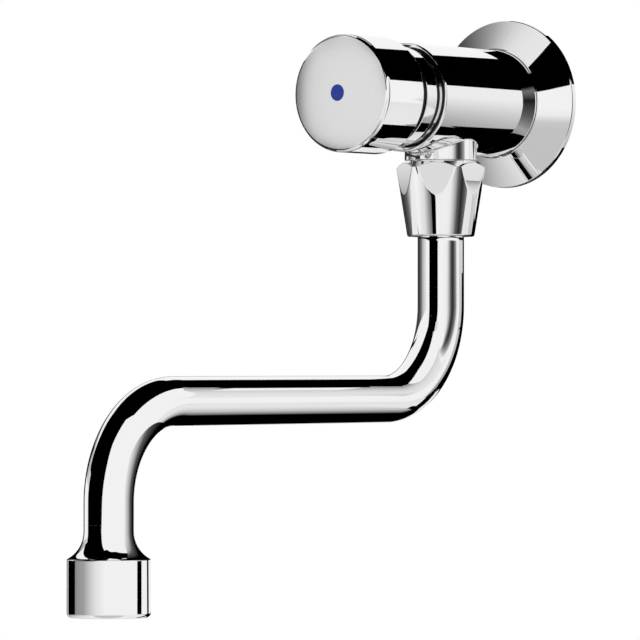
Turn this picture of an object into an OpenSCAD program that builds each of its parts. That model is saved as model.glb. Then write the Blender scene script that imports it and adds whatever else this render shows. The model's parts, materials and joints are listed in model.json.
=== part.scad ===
// Wall-mounted push tap that closes by itself after a timed flow, with a swivelling spout below its body.
// The wall is the plane y = 0. The tap stands out from it along -Y, and Z is up.
// Levels named s_ are distances out from the wall along the body's axis.
// Levels named z_ are heights along the spout's swivel axis, with 0 on the body's axis.
// Profiles are lists of [radius, level] corners; a third number rounds that corner.

/* [Wall flange] */
// Outside diameter of the flange
flange_d = 66; // [60:0.5:90]
// Depth of the flange from the wall to its front lip
flange_depth = 9.7; // [9:0.1:14]
// Height of the straight rim at the wall
flange_rim = 2.4; // [1.6:0.1:4]
// Wall thickness of the flange
flange_wall = 1.6; // [1:0.1:2]
// Radius on the edge of the rim
flange_edge = 0.8; // [0.2:0.1:1.2]
// Width of the lip where the flange meets the body
flange_lip = 0.5; // [0.3:0.1:1]
// Length of the sleeve inside the flange that slips over the body
flange_sleeve = 5.5; // [4.5:0.1:6.5]
// Wall of that sleeve
flange_sleeve_wall = 1.8; // [1.2:0.1:3]

/* [Body] */
// Diameter of the body
body_d = 42; // [40:0.5:50]
// Distance from the wall to the front face of the body
body_reach = 69.5; // [68:0.5:90]
// Distance from the wall to the back face of the body
body_standoff = 2.4; // [1.5:0.1:3]
// Radius on the front edge of the body
body_edge = 0.8; // [0.2:0.1:1.5]
// Wall of the body round the cartridge thread
body_wall = 2.5; // [2:0.1:4]

/* [Inlet] */
// Major diameter of the inlet thread, G 1/2
inlet_d = 20.955; // [16.662:0.001:26.441]
// How far the inlet shank reaches behind the wall plane
inlet_reach = 18; // [14:0.5:30]
// Chamfer at the end of the shank
inlet_chamfer = 1; // [0.5:0.1:1.5]
// Bore of the inlet
inlet_bore_d = 13; // [10:0.5:15]
// Length of the strainer cup in the inlet
strainer_length = 8; // [5:0.5:12]
// Wall of the strainer cup
strainer_wall = 0.7; // [0.5:0.1:1.2]
// Diameter of the strainer's holes
strainer_hole_d = 1.4; // [0.8:0.1:1.6]

/* [Button] */
// How far the button stands out past the body, in radius
button_overhang = 1.5; // [0.5:0.1:3]
// Length of the button's side
button_length = 22.4; // [20:0.1:30]
// Gap between the body and the button at rest
button_gap = 16.2; // [15:0.1:22]
// Travel of the button
button_travel = 10; // [7:0.5:11]
// Wall of the button's skirt
button_wall = 2; // [1.5:0.1:3]
// Thickness of the button's face at its edge
button_face = 3; // [2:0.1:5]
// Rise of the crowned face
button_crown = 2.5; // [1:0.1:4]
// Radius on the edge of the face
button_edge = 1.6; // [0.5:0.1:2]
// Diameter of the hub inside the button
button_hub_d = 14; // [12:0.5:18]
// Diameter of the colour index on the face
index_d = 6.3; // [4:0.1:10]
// Thickness of the colour index
index_depth = 1.6; // [1:0.1:3]

/* [Cartridge head] */
// Length of the head's thread in the body
head_thread = 11.5; // [9:0.5:12]
// Wall of the head under its thread
head_wall = 3; // [2.5:0.1:4]
// Gap left open between the body and the head's collar
head_groove = 3.2; // [2:0.1:4]
// Length of the head's collar
head_collar = 6.9; // [5:0.1:9]
// Radius on the back edge of the collar
head_collar_edge = 0.9; // [0.3:0.1:1.5]
// Step from the collar down to the neck, in radius
neck_step = 0.5; // [0.3:0.1:1]
// How far the neck reaches inside the button
neck_cover = 3.3; // [1:0.1:6]
// Depth of the recess in front of the guide wall
neck_recess = 7; // [4:0.1:8]
// Wall of the neck round that recess
neck_wall = 2.6; // [2:0.1:4]
// Thickness of the guide wall
guide_wall = 4; // [3:0.1:6]
// Diameter of the guide bush
guide_d = 14; // [12:0.5:18]
// Width and thickness of the guide bush's flange
guide_flange = 1; // [0.6:0.1:2]

/* [Timing cylinder] */
// Step that the head's end presses on, in radius
land_step = 0.5; // [0.4:0.1:1]
// Length of the sealing land on the sleeve
land_length = 4.5; // [3.5:0.1:6]
// Water gap round the sleeve, in radius
water_gap = 2; // [1.5:0.1:2.5]
// Wall of the sleeve
sleeve_wall = 1.5; // [1:0.1:2]
// Thickness of the sleeve's closed end
sleeve_end = 4; // [3.5:0.1:6]
// Thickness of the piston
piston_length = 6; // [5:0.1:8]
// Free space in front of the piston at rest
piston_spare = 3.3; // [2:0.1:4]
// Depth of the piston's seal groove
piston_groove = 2.3; // [1.5:0.1:2.5]
// Length of the piston's lip seal
lip_length = 3; // [2.5:0.1:3.5]
// Thickness of the clip that holds the piston
clip_thickness = 1.2; // [0.8:0.1:1.6]
// Depth of the clip's groove in the stem
clip_groove = 0.8; // [0.5:0.1:1.2]
// Diameter of the metering pin
pin_d = 1.2; // [0.8:0.1:1.6]
// Gap round the metering pin, in radius
pin_gap = 0.4; // [0.3:0.05:0.6]
// Radial gap of the calibrated hole round the pin
bleed_gap = 0.15; // [0.1:0.05:0.3]

/* [Return spring] */
// Diameter of the spring's wire
spring_wire = 1.6; // [1:0.1:2]
// Turns of the spring
spring_turns = 5; // [4:1:7]
// Gap between the spring and the sleeve, in radius
spring_gap = 2.7; // [1.5:0.1:3]
// Length left to the spring when the button is fully pushed, beyond its closed length
spring_spare = 1.5; // [1:0.1:3]

/* [Valve] */
// Diameter of the stem
stem_d = 8; // [7:0.1:9]
// Diameter of the stem's threaded end
stem_thread_d = 6; // [5:0.5:6]
// Length of stem left past the valve nut
stem_tip = 1; // [0.5:0.1:2]
// Length of the valve cage from its seat to its front end
cage_length = 13; // [11:0.5:15]
// Thickness of the cage's flange
cage_flange = 2.6; // [2:0.1:4]
// Wall of the cage's legs
cage_wall = 3; // [2:0.1:4]
// Width of the cage's windows
cage_window = 13; // [10:0.5:14]
// Thickness of the ring in front of the windows
cage_ring = 2.4; // [1.5:0.1:4]
// Diameter of the valve opening
orifice_d = 14; // [12:0.5:15]
// Height and width of the seat's lip
seat_lip = 0.8; // [0.5:0.1:1.2]
// Width of the body's shoulder under the seat gasket
seat_shoulder = 4; // [3:0.1:5]
// Thickness of the seat gasket
gasket_thickness = 0.8; // [0.5:0.1:1.5]
// Thickness of the valve washer
washer_thickness = 3; // [2:0.1:4]
// Thickness of the washer's holder
holder_thickness = 2; // [1.5:0.1:3]
// Wall of the holder's rim
holder_rim = 1; // [0.8:0.1:1.5]
// Water gap round the holder, in radius
holder_gap = 1.2; // [0.8:0.1:2]
// Thickness of the valve nut
valve_nut_thickness = 3.2; // [2.5:0.1:5]
// Width across flats of the valve nut
valve_nut_flats = 10; // [9:0.5:12]
// Room left behind the stem when the button is fully pushed
chamber_spare = 0.8; // [0.5:0.1:2]

/* [Spout joint] */
// Distance from the body's front face back to the spout's swivel axis
spout_setback = 25; // [22:0.5:30]
// Major diameter of the spout nut's thread, G 3/4
spigot_d = 26.441; // [26:0.001:30.201]
// Length of the threaded spigot under the boss
spigot_length = 11.5; // [10:0.5:14]
// Width of the boss's shoulder round the spigot
boss_shoulder = 0.8; // [0.4:0.1:2]
// Height of the boss below the body
boss_height = 2.7; // [1:0.1:6]
// Bore of the water way down to the spout
outlet_way_d = 15; // [12:0.5:15]
// Wall of the collar round the tube
collar_wall = 1; // [0.8:0.1:1.4]
// Length of the collar inside the spigot
collar_insert = 12; // [11:0.1:13]
// Depth of the socket that the tube is soldered into, above the collar's flange
socket_depth = 4.7; // [3:0.1:4.7]
// Thickness of the collar's flange
collar_flange = 3.3; // [2:0.1:5]
// Bore of the collar
collar_bore_d = 13.5; // [11:0.5:13.5]
// Thickness of the slip ring
slip_thickness = 1.5; // [1:0.1:3]
// End play of the collar under the spigot
swivel_play = 0.3; // [0.1:0.05:0.5]

/* [Spout nut] */
// Height of the nut
nut_height = 29; // [24:0.5:36]
// Gap between the nut and the boss
nut_gap = 0.4; // [0.2:0.1:1]
// Wall of the nut at its flats
nut_wall = 2.25; // [1.8:0.05:4]
// How far the cone stands out past the flats at the top, in radius
nut_swell = 1.75; // [1:0.05:2.2]
// Wall of the nut round the tube at its foot
nut_foot = 4; // [2.5:0.1:5]
// Chamfer at the top of the nut
nut_chamfer = 2.4; // [1:0.1:3]
// Radius on the lower edge of the nut
nut_edge = 0.8; // [0.3:0.1:1.5]

/* [Spout] */
// Outside diameter of the tube
tube_d = 18; // [16:0.5:20]
// Wall of the tube
tube_wall = 1; // [0.8:0.1:1.5]
// Centre-line radius of both bends
bend_r = 36; // [24:0.5:50]
// Distance from the body's axis down to the level run
spout_drop = 116; // [110:1:180]
// Distance from the swivel axis out to the outlet
spout_reach = 200; // [120:1:300]
// Straight length of tube below the second bend
tail_length = 8; // [7:0.5:30]

/* [Nozzle] */
// Outside diameter of the nozzle
nozzle_d = 30; // [29:0.5:40]
// Length of the nozzle's cylinder
nozzle_length = 20.7; // [18:0.1:40]
// Length of tube diameter before the flare starts
nozzle_lead = 2.4; // [1:0.1:6]
// Radius of the hollow flare
flare_r = 11; // [6:0.5:11]
// Angle of the flare where it meets the cylinder
flare_angle = 61; // [50:1:65]
// Radius on the lower edge of the nozzle
nozzle_edge = 1.6; // [0.5:0.1:2]
// Wall of the nozzle round the straightener
nozzle_wall = 3; // [2:0.1:4]
// Length of the nozzle's spigot in the tube
nozzle_spigot = 6; // [4:0.5:7]
// Bore through the nozzle's neck
nozzle_bore_d = 13; // [10:0.5:13]
// Depth that the straightener is set back
straightener_recess = 1.5; // [0.5:0.1:4]
// Length of the straightener
straightener_length = 9; // [6:0.5:14]
// Number of the straightener's vanes
straightener_vanes = 8; // [4:1:12]
// Thickness of a vane
vane_thickness = 0.9; // [0.6:0.1:1.5]
// Thickness of the straightener's seal
outlet_seal = 1.6; // [1:0.1:3]

/* [Fits] */
// Radial clearance of a part that slides or turns in another
running_fit = 0.05; // [0.03:0.01:0.1]
// Radial gap between a seal and the face that it wipes
seal_gap = 0.03; // [0.01:0.01:0.05]
// Radial gap of parts that are pressed, screwed or soldered together
seat_gap = 0.02; // [0.01:0.01:0.05]
// Radial gap of a part that is only located by another
slip_gap = 0.15; // [0.1:0.05:0.3]
// Radial gap between the piston and its cylinder
piston_gap = 0.2; // [0.1:0.05:0.3]
// Radial gap of turning parts that don't guide each other
free_gap = 0.35; // [0.25:0.05:0.5]
// Radial gap between the button's skirt and the collar
skirt_gap = 1; // [0.6:0.1:2]
// Cord diameter of the sealing rings
cord_d = 1.8; // [1.5:0.1:2]
// End play of a sealing ring in its groove
cord_play = 0.3; // [0.1:0.1:0.5]

/* [Hidden] */
$fn = 96;
// Length by which a cut passes the face that it opens
cut = 1;
// Angle of one step round a corner
arc_step = 6;

// Radii from the body's outside inwards
body_r = body_d / 2;
thread_r = body_r - body_wall;
head_bore_r = thread_r - head_wall;
main_bore_r = head_bore_r + land_step;
sleeve_r = main_bore_r - water_gap;
timing_r = sleeve_r - sleeve_wall;
piston_r = timing_r - piston_gap;
chamber_r = main_bore_r - seat_shoulder;
holder_r = chamber_r - holder_gap;
washer_r = holder_r - holder_rim - seat_gap;
stem_r = stem_d / 2;
stem_bore_r = stem_r + running_fit;
orifice_r = orifice_d / 2;

// Radii of the button and of what it covers
button_r = body_r + button_overhang;
skirt_r = button_r - button_wall;
collar_r = skirt_r - skirt_gap;
neck_r = collar_r - neck_step;
index_r = index_d / 2;
crown_r = (button_r * button_r + button_crown * button_crown) / (2 * button_crown);

// Spring, metering pin and the pieces inside them
spring_r = timing_r - spring_gap - spring_wire / 2;
pin_r = pin_d / 2;
pin_place = spring_r - spring_wire / 2 - pin_gap - pin_r;
stop_r = pin_place - pin_r - pin_gap;
spring_length = spring_turns * spring_wire + spring_spare + button_travel;

// Levels from the body's front face out to the button
s_collar_back = body_reach + head_groove;
s_collar_front = s_collar_back + head_collar;
s_button_back = body_reach + button_gap;
s_button_edge = s_button_back + button_length;
s_button_top = s_button_edge + button_crown;
s_face_inside = s_button_edge - button_face;
s_neck_front = s_button_back + neck_cover;

// Levels from the guide wall back to the inlet
s_guide_front = s_neck_front - neck_recess;
s_guide_back = s_guide_front - guide_wall;
s_hub_end = s_guide_front + guide_flange + button_travel + free_gap;
s_stem_front = s_face_inside;
s_clip_front = s_guide_back - piston_spare;
s_piston_front = s_clip_front - clip_thickness;
s_piston_back = s_piston_front - piston_length;
s_stop_back = s_piston_back - clip_thickness;
s_sleeve_floor = s_piston_back - spring_length;
s_sleeve_back = s_sleeve_floor - sleeve_end;
s_head_back = body_reach - head_thread;
s_land_back = s_head_back - land_length;
s_seat = s_sleeve_back - cage_length;
s_flange_back = s_seat + seat_lip;
s_flange_front = s_flange_back + cage_flange;
s_shoulder = s_flange_back - gasket_thickness;
s_washer_back = s_seat - washer_thickness;
s_holder_back = s_washer_back - holder_thickness;
s_nut_back = s_holder_back - valve_nut_thickness;
s_stem_back = s_nut_back - stem_tip;
s_chamber_back = s_stem_back - button_travel - chamber_spare;
s_spout = body_reach - spout_setback;
s_flange_ring = flange_depth - flange_sleeve / 2;

// Spout joint
tube_r = tube_d / 2;
tube_bore_r = tube_r - tube_wall;
spigot_r = spigot_d / 2;
boss_r = spigot_r + boss_shoulder;
swivel_r = tube_r + seat_gap + collar_wall;
swivel_bore_r = swivel_r + running_fit;
nut_bore_r = spigot_r + seat_gap;
collar_flange_r = nut_bore_r - free_gap;
nut_hole_r = tube_r + free_gap;
nut_flat_r = nut_bore_r + nut_wall;
z_boss = -(body_r + boss_height);
z_spigot = z_boss - spigot_length;
z_swivel_top = z_spigot + collar_insert;
z_flange_top = z_spigot - swivel_play;
z_flange_low = z_flange_top - collar_flange;
z_socket_top = z_flange_top + socket_depth;
z_slip_top = z_flange_low - seal_gap;
z_slip_low = z_slip_top - slip_thickness;
z_nut_top = z_boss - nut_gap;
z_nut_low = z_nut_top - nut_height;
swivel_ring_pitch = cord_d + cord_play + collar_wall;
z_upper_ring = z_swivel_top - collar_wall - (cord_d + cord_play) / 2;

// Spout and nozzle
run_length = spout_reach - 2 * bend_r;
z_bend_top = -(spout_drop - bend_r);
z_tail_top = -(spout_drop + bend_r);
z_nozzle_top = z_tail_top - tail_length;
nozzle_r = nozzle_d / 2;
flare_turn = flare_r * tan(flare_angle / 2);
z_flare = z_nozzle_top - nozzle_lead - flare_turn;
z_shoulder = z_flare - (nozzle_r - tube_r) / tan(flare_angle);
z_outlet = z_shoulder - nozzle_length;
mouth_r = nozzle_r - nozzle_wall;
z_straightener_low = z_outlet + straightener_recess;
z_straightener_top = z_straightener_low + straightener_length;
z_mouth_top = z_straightener_top + outlet_seal;
nozzle_spigot_r = tube_bore_r - seat_gap;

chrome = "#d9dcdf";
brass = "#b9964a";
steel = "#a9adb2";
acetal = "#e8e6dd";
rubber = "#232323";
index_blue = "#32409a";

function unit(v) = v / norm(v);
function place(p) = [p[0], p[1]];

// Points round one corner: the corner itself, or an arc of its radius between the two sides
function corner_arc(before, corner, after) =
    let (
        a = unit(place(before) - place(corner)),
        b = unit(place(after) - place(corner)),
        half = acos(a * b) / 2,
        centre = place(corner) + unit(a + b) * corner[2] / sin(half),
        from = place(corner) + a * corner[2] / tan(half) - centre,
        to = place(corner) + b * corner[2] / tan(half) - centre,
        start = atan2(from[1], from[0]),
        turn = (atan2(to[1], to[0]) - start + 540) % 360 - 180,
        steps = ceil(abs(turn) / arc_step)
    )
    [for (i = [0:steps]) centre + corner[2] * [cos(start + turn * i / steps), sin(start + turn * i / steps)]];

// A closed outline with each corner that has a radius rounded
function rounded(corners) =
    let (n = len(corners))
    [
        for (i = [0:n - 1])
            let (c = corners[i])
            each len(c) == 2 ? [c] : corner_arc(corners[(i + n - 1) % n], c, corners[(i + 1) % n])
    ];

// A body of revolution on the tap's axis
module turned(corners) {
    rotate([90, 0, 0])
        rotate_extrude()
            polygon(rounded(corners));
}

// A body of revolution on the spout's swivel axis
module turned_spout(corners, out = 0) {
    translate([0, -s_spout - out, 0])
        rotate_extrude()
            polygon(rounded(corners));
}

// Corners of a plain ring between two radii and two levels
function ring(inner, outer, low, high) = [[inner, low], [outer, low], [outer, high], [inner, high]];

// Corners of a groove for a sealing ring, open past the radius "outer"
function groove(inner, outer, level) =
    ring(inner, outer, level - (cord_d + cord_play) / 2, level + (cord_d + cord_play) / 2);

// A sealing ring on the tap's axis, with its cord between two radii
module tap_o_ring(inner, level) {
    rotate([90, 0, 0])
        translate([0, 0, level])
            rotate_extrude()
                translate([inner + cord_d / 2, 0])
                    circle(d = cord_d);
}

// Inner radius of a sealing ring that wipes a bore
function ring_in_bore(bore) = bore - seal_gap - cord_d;

flange_bore_r = body_r + slip_gap;
flange_ring_r = ring_in_bore(flange_bore_r);
sleeve_ring_r = ring_in_bore(main_bore_r);
stem_ring_r = stem_r + seal_gap;
swivel_ring_r = ring_in_bore(swivel_bore_r);

module wall_flange() {
    flange_r = flange_d / 2;
    lip_r = flange_bore_r + flange_lip;
    sleeve_out_r = flange_bore_r + flange_sleeve_wall;
    slope = (flange_depth - flange_rim) / (flange_r - lip_r);
    skin = flange_wall * sqrt(1 + slope * slope);
    rim_in_r = flange_r - flange_wall;
    color(chrome)
        turned([
            [flange_bore_r, flange_depth - flange_sleeve],
            [flange_bore_r, flange_depth],
            [lip_r, flange_depth],
            [flange_r, flange_rim, flange_edge],
            [flange_r, 0],
            [rim_in_r, 0],
            [rim_in_r, flange_rim + slope * flange_wall - skin],
            [sleeve_out_r, flange_rim + slope * (flange_r - sleeve_out_r) - skin],
            [sleeve_out_r, flange_depth - flange_sleeve]
        ]);
}

module flange_o_ring() {
    color(rubber)
        tap_o_ring(flange_ring_r, s_flange_ring);
}

// Outside of the body and its threaded inlet shank
module body_outside() {
    inlet_r = inlet_d / 2;
    turned([
        [0, -inlet_reach],
        [inlet_r - inlet_chamfer, -inlet_reach],
        [inlet_r, inlet_chamfer - inlet_reach],
        [inlet_r, body_standoff],
        [body_r, body_standoff],
        [body_r, body_reach, body_edge],
        [0, body_reach]
    ]);
}

// Inlet, valve chamber, cartridge bore and thread, from the back to the front
module body_bores() {
    inlet_bore_r = inlet_bore_d / 2;
    s_thread_end = s_head_back - land_step;
    turned([
        [0, -inlet_reach - cut],
        [inlet_bore_r, -inlet_reach - cut],
        [inlet_bore_r, s_chamber_back],
        [chamber_r, s_chamber_back],
        [chamber_r, s_shoulder],
        [main_bore_r, s_shoulder],
        [main_bore_r, s_thread_end],
        [thread_r, s_thread_end],
        [thread_r, body_reach + cut],
        [0, body_reach + cut]
    ]);
}

module tap_body() {
    color(chrome)
        difference() {
            union() {
                body_outside();
                turned_spout([
                    [0, z_spigot],
                    [spigot_r - boss_shoulder, z_spigot],
                    [spigot_r, z_spigot + boss_shoulder],
                    [spigot_r, z_boss],
                    [boss_r, z_boss],
                    [boss_r, 0],
                    [0, 0]
                ]);
            }
            body_bores();
            turned(groove(flange_ring_r - seat_gap, body_r + cut, s_flange_ring));
            turned_spout([
                [0, z_spigot - cut],
                [swivel_bore_r, z_spigot - cut],
                [swivel_bore_r, z_swivel_top + free_gap],
                [outlet_way_d / 2, z_swivel_top + free_gap],
                [outlet_way_d / 2, 0],
                [0, 0]
            ]);
        }
}

// A cup that slides into the inlet, with rings of holes through its floor
module inlet_strainer() {
    outer = inlet_bore_d / 2 - seat_gap;
    s_floor = strainer_length - inlet_reach;
    hole_step = (outer - strainer_wall - strainer_hole_d / 2) / 2.5;
    color(steel)
        difference() {
            turned([
                [0, s_floor],
                [0, s_floor - strainer_wall],
                [outer - strainer_wall, s_floor - strainer_wall],
                [outer - strainer_wall, -inlet_reach],
                [outer, -inlet_reach],
                [outer, s_floor]
            ]);
            for (row = [0:2], i = [0:max(1, 6 * row) - 1])
                rotate([0, i * 60 / max(1, row), 0])
                    translate([row * hole_step, cut - s_floor + strainer_wall, 0])
                        rotate([90, 0, 0])
                            cylinder(d = strainer_hole_d, h = strainer_wall + 2 * cut);
        }
}

// The chromed head: thread, open groove, collar, neck and guide wall
module cartridge_head() {
    screw_r = thread_r - seat_gap;
    color(chrome)
        turned([
            [head_bore_r, s_head_back],
            [screw_r - land_step, s_head_back],
            [screw_r, s_head_back + land_step],
            [screw_r, s_collar_back],
            [collar_r, s_collar_back, head_collar_edge],
            [collar_r, s_collar_front, neck_step],
            [neck_r, s_collar_front],
            [neck_r, s_neck_front, neck_step],
            [neck_r - neck_wall, s_neck_front],
            [neck_r - neck_wall, s_guide_front],
            [guide_d / 2, s_guide_front],
            [guide_d / 2, s_guide_back],
            [head_bore_r, s_guide_back]
        ]);
}

module guide_bush() {
    bush_r = guide_d / 2 - seat_gap;
    color(acetal)
        turned([
            [stem_bore_r, s_guide_back],
            [bush_r, s_guide_back],
            [bush_r, s_guide_front],
            [bush_r + guide_flange, s_guide_front],
            [bush_r + guide_flange, s_guide_front + guide_flange],
            [stem_bore_r, s_guide_front + guide_flange]
        ]);
}

// Timing cylinder: a sleeve closed at the back, with a sealing land and a hole for the metering pin
module timing_sleeve() {
    land_r = main_bore_r - slip_gap;
    front_r = head_bore_r - slip_gap;
    color(acetal)
        difference() {
            turned([
                [stem_bore_r, s_sleeve_back],
                [sleeve_r, s_sleeve_back],
                [sleeve_r, s_land_back],
                [land_r, s_land_back],
                [land_r, s_head_back],
                [front_r, s_head_back],
                [front_r, s_guide_back],
                [timing_r, s_guide_back],
                [timing_r, s_sleeve_floor],
                [stem_bore_r, s_sleeve_floor]
            ]);
            turned(groove(sleeve_ring_r - seat_gap, main_bore_r, (s_land_back + s_head_back) / 2));
            turned(groove(0, stem_ring_r + cord_d + seat_gap, s_sleeve_floor - sleeve_end / 2));
            metering_hole(pin_r + seat_gap, s_sleeve_floor - sleeve_end / 2, s_sleeve_floor + cut);
        }
}

module sleeve_o_ring() {
    color(rubber)
        tap_o_ring(sleeve_ring_r, (s_land_back + s_head_back) / 2);
}

module stem_o_ring() {
    color(rubber)
        tap_o_ring(stem_ring_r, s_sleeve_floor - sleeve_end / 2);
}

// A round rod or hole on the metering pin's line, between two levels
module metering_hole(radius, from, to) {
    rotate([90, 0, 0])
        translate([pin_place, 0, from])
            cylinder(r = radius, h = to - from);
}

module metering_pin() {
    color(steel)
        metering_hole(pin_r, s_sleeve_floor - sleeve_end / 2, s_guide_back - free_gap);
}

// Valve seat with a lip on the inlet side, and windows that let the water out to the spout
module valve_cage() {
    cage_bore_r = sleeve_r - cage_wall;
    s_window_front = s_sleeve_back - cage_ring;
    color(acetal)
        difference() {
            turned([
                [orifice_r, s_seat],
                [orifice_r + seat_lip, s_seat],
                [orifice_r + seat_lip, s_flange_back],
                [main_bore_r - slip_gap, s_flange_back],
                [main_bore_r - slip_gap, s_flange_front],
                [sleeve_r, s_flange_front],
                [sleeve_r, s_sleeve_back],
                [cage_bore_r, s_sleeve_back],
                [cage_bore_r, s_flange_front],
                [orifice_r, s_flange_front]
            ]);
            for (turn = [0, 90])
                rotate([0, turn, 0])
                    translate([-body_r, -s_window_front, -cage_window / 2])
                        cube([body_d, s_window_front - s_flange_front, cage_window]);
        }
}

module seat_gasket() {
    color(rubber)
        turned(ring(chamber_r + slip_gap, main_bore_r - slip_gap, s_shoulder, s_flange_back));
}

// Coil spring between the sleeve's floor and the piston: one tube swept along a helix
spring_rings = 16;
spring_sides = 8;
spring_start = s_sleeve_floor + spring_wire / 2 + seat_gap;
spring_rise = spring_length - spring_wire - 2 * seat_gap;
spring_steps = spring_turns * spring_rings;
spring_climb = spring_rise / (360 * spring_turns) * 180 / PI;
function spring_centre(i) =
    let (a = 360 * i / spring_rings)
    [spring_r * cos(a), spring_r * sin(a), spring_start + spring_rise * i / spring_steps];
function spring_section(i) =
    let (
        a = 360 * i / spring_rings,
        outward = [cos(a), sin(a), 0],
        along = unit([-spring_r * sin(a), spring_r * cos(a), spring_climb]),
        across = cross(along, outward)
    )
    [
        for (k = [0:spring_sides - 1])
            let (b = 360 * k / spring_sides)
            spring_centre(i) + spring_wire / 2 * (cos(b) * outward + sin(b) * across)
    ];
spring_self_gap = min([
    for (i = [0:spring_steps], j = [i + spring_rings / 2:1:spring_steps])
        norm(spring_centre(i) - spring_centre(j))
]) - spring_wire;
echo(spring_least_gap_mm = spring_self_gap);

module return_spring() {
    last = spring_steps * spring_sides;
    color(steel)
        rotate([90, 0, 0])
            polyhedron(
                points = [for (i = [0:spring_steps]) each spring_section(i)],
                faces = [
                    for (i = [0:spring_steps - 1], k = [0:spring_sides - 1])
                        let (
                            a = i * spring_sides + k,
                            b = i * spring_sides + (k + 1) % spring_sides
                        )
                        each [[a, a + spring_sides, b], [b, a + spring_sides, b + spring_sides]],
                    for (k = [1:spring_sides - 2])
                        each [[0, k, k + 1], [last, last + k + 1, last + k]]
                ]
            );
}

// Button: crowned face, skirt round the neck, and a hub screwed on the stem
module push_button() {
    crown_steps = 10;
    crown = [
        for (i = [1:crown_steps])
            let (r = button_r * (1 - i / crown_steps))
            [r, s_button_top - crown_r + sqrt(crown_r * crown_r - r * r)]
    ];
    hub_r = button_hub_d / 2;
    color(chrome)
        difference() {
            turned(concat(
                [
                    [0, s_button_back],
                    [button_r, s_button_back, neck_step],
                    [button_r, s_button_edge, button_edge]
                ],
                crown
            ));
            turned([
                [0, s_button_back - cut],
                [skirt_r, s_button_back - cut],
                [skirt_r, s_face_inside, button_edge],
                [hub_r, s_face_inside, button_edge],
                [hub_r, s_hub_end],
                [0, s_hub_end]
            ]);
            turned(ring(0, stem_r + seat_gap, s_hub_end - cut, s_stem_front));
            turned(ring(0, index_r + seat_gap, s_button_top - index_depth, s_button_top + cut));
        }
}

module colour_index() {
    color(index_blue)
        turned([
            [0, s_button_top - index_depth],
            [index_r, s_button_top - index_depth],
            [index_r, s_button_top, seat_lip / 2],
            [0, s_button_top]
        ]);
}

// Stem with its threaded valve end, the stop under the piston and the clip's groove
module plunger_stem() {
    screw_r = stem_thread_d / 2;
    groove_r = stem_r - clip_groove;
    color(brass)
        turned([
            [0, s_stem_back],
            [screw_r - stem_tip / 2, s_stem_back],
            [screw_r, s_stem_back + stem_tip / 2],
            [screw_r, s_seat],
            [stem_r, s_seat],
            [stem_r, s_stop_back],
            [stop_r, s_stop_back],
            [stop_r, s_piston_back],
            [stem_r, s_piston_back],
            [stem_r, s_piston_front],
            [groove_r, s_piston_front],
            [groove_r, s_clip_front],
            [stem_r, s_clip_front],
            [stem_r, s_stem_front],
            [0, s_stem_front]
        ]);
}

module timing_piston() {
    s_groove_back = s_piston_back + (piston_length - lip_length) / 2;
    color(acetal)
        difference() {
            turned([
                [stem_r + seat_gap, s_piston_back],
                [piston_r, s_piston_back],
                [piston_r, s_groove_back],
                [piston_r - piston_groove, s_groove_back],
                [piston_r - piston_groove, s_groove_back + lip_length],
                [piston_r, s_groove_back + lip_length],
                [piston_r, s_piston_front],
                [stem_r + seat_gap, s_piston_front]
            ]);
            metering_hole(pin_r + bleed_gap, s_piston_back - cut, s_piston_front + cut);
        }
}

// Lip seal that lets water past on the push and holds it on the return
module piston_seal() {
    s_back = s_piston_back + (piston_length - lip_length) / 2 + seat_gap;
    s_front = s_back + lip_length - 2 * seat_gap;
    inner = piston_r - piston_groove + seat_gap;
    outer = timing_r - seal_gap;
    notch = (outer - inner) / 3;
    color(rubber)
        turned([
            [inner, s_back],
            [inner + notch, s_back],
            [inner + 1.5 * notch, s_back + notch],
            [outer - notch, s_back],
            [outer, s_back],
            [outer - notch / 2, s_front],
            [inner, s_front]
        ]);
}

// Open clip in the stem's groove, in front of the piston
module piston_clip() {
    groove_r = stem_r - clip_groove;
    mouth = 2 * groove_r - clip_groove;
    color(steel)
        difference() {
            turned(ring(groove_r + seat_gap, stop_r, s_piston_front, s_clip_front));
            translate([-mouth / 2, -s_clip_front - cut, 0])
                cube([mouth, clip_thickness + 2 * cut, stop_r + cut]);
        }
}

module valve_holder() {
    color(brass)
        turned([
            [stem_thread_d / 2 + seat_gap, s_holder_back],
            [holder_r, s_holder_back],
            [holder_r, s_washer_back + washer_thickness / 2],
            [holder_r - holder_rim, s_washer_back + washer_thickness / 2],
            [holder_r - holder_rim, s_washer_back],
            [stem_thread_d / 2 + seat_gap, s_washer_back]
        ]);
}

module valve_washer() {
    color(rubber)
        turned(ring(stem_thread_d / 2 + seat_gap, washer_r, s_washer_back, s_seat));
}

module valve_nut() {
    color(brass)
        rotate([90, 0, 0])
            translate([0, 0, s_nut_back])
                difference() {
                    cylinder(r = valve_nut_flats / 2 / cos(30), h = valve_nut_thickness, $fn = 6);
                    translate([0, 0, -cut])
                        cylinder(d = stem_thread_d + 2 * seat_gap, h = valve_nut_thickness + 2 * cut);
                }
}

// Coupling nut: a cone that narrows to the tube, with six flats that end in scalloped tips
module spout_nut() {
    foot_r = tube_r + nut_foot;
    top_r = nut_flat_r + nut_swell;
    color(chrome)
        difference() {
            intersection() {
                turned_spout([
                    [0, z_nut_low],
                    [foot_r, z_nut_low, nut_edge],
                    [top_r, z_nut_top - nut_chamfer],
                    [top_r - nut_chamfer, z_nut_top],
                    [0, z_nut_top]
                ]);
                translate([0, -s_spout, z_nut_low - cut])
                    rotate([0, 0, 30])
                        cylinder(r = nut_flat_r / cos(30), h = nut_height + 2 * cut, $fn = 6);
            }
            turned_spout([
                [0, z_nut_low - cut],
                [nut_hole_r, z_nut_low - cut],
                [nut_hole_r, z_slip_low],
                [nut_bore_r, z_slip_low],
                [nut_bore_r, z_nut_top + cut],
                [0, z_nut_top + cut]
            ]);
        }
}

module slip_ring() {
    color(acetal)
        turned_spout(ring(nut_hole_r, nut_bore_r - seat_gap, z_slip_low, z_slip_top));
}

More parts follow.
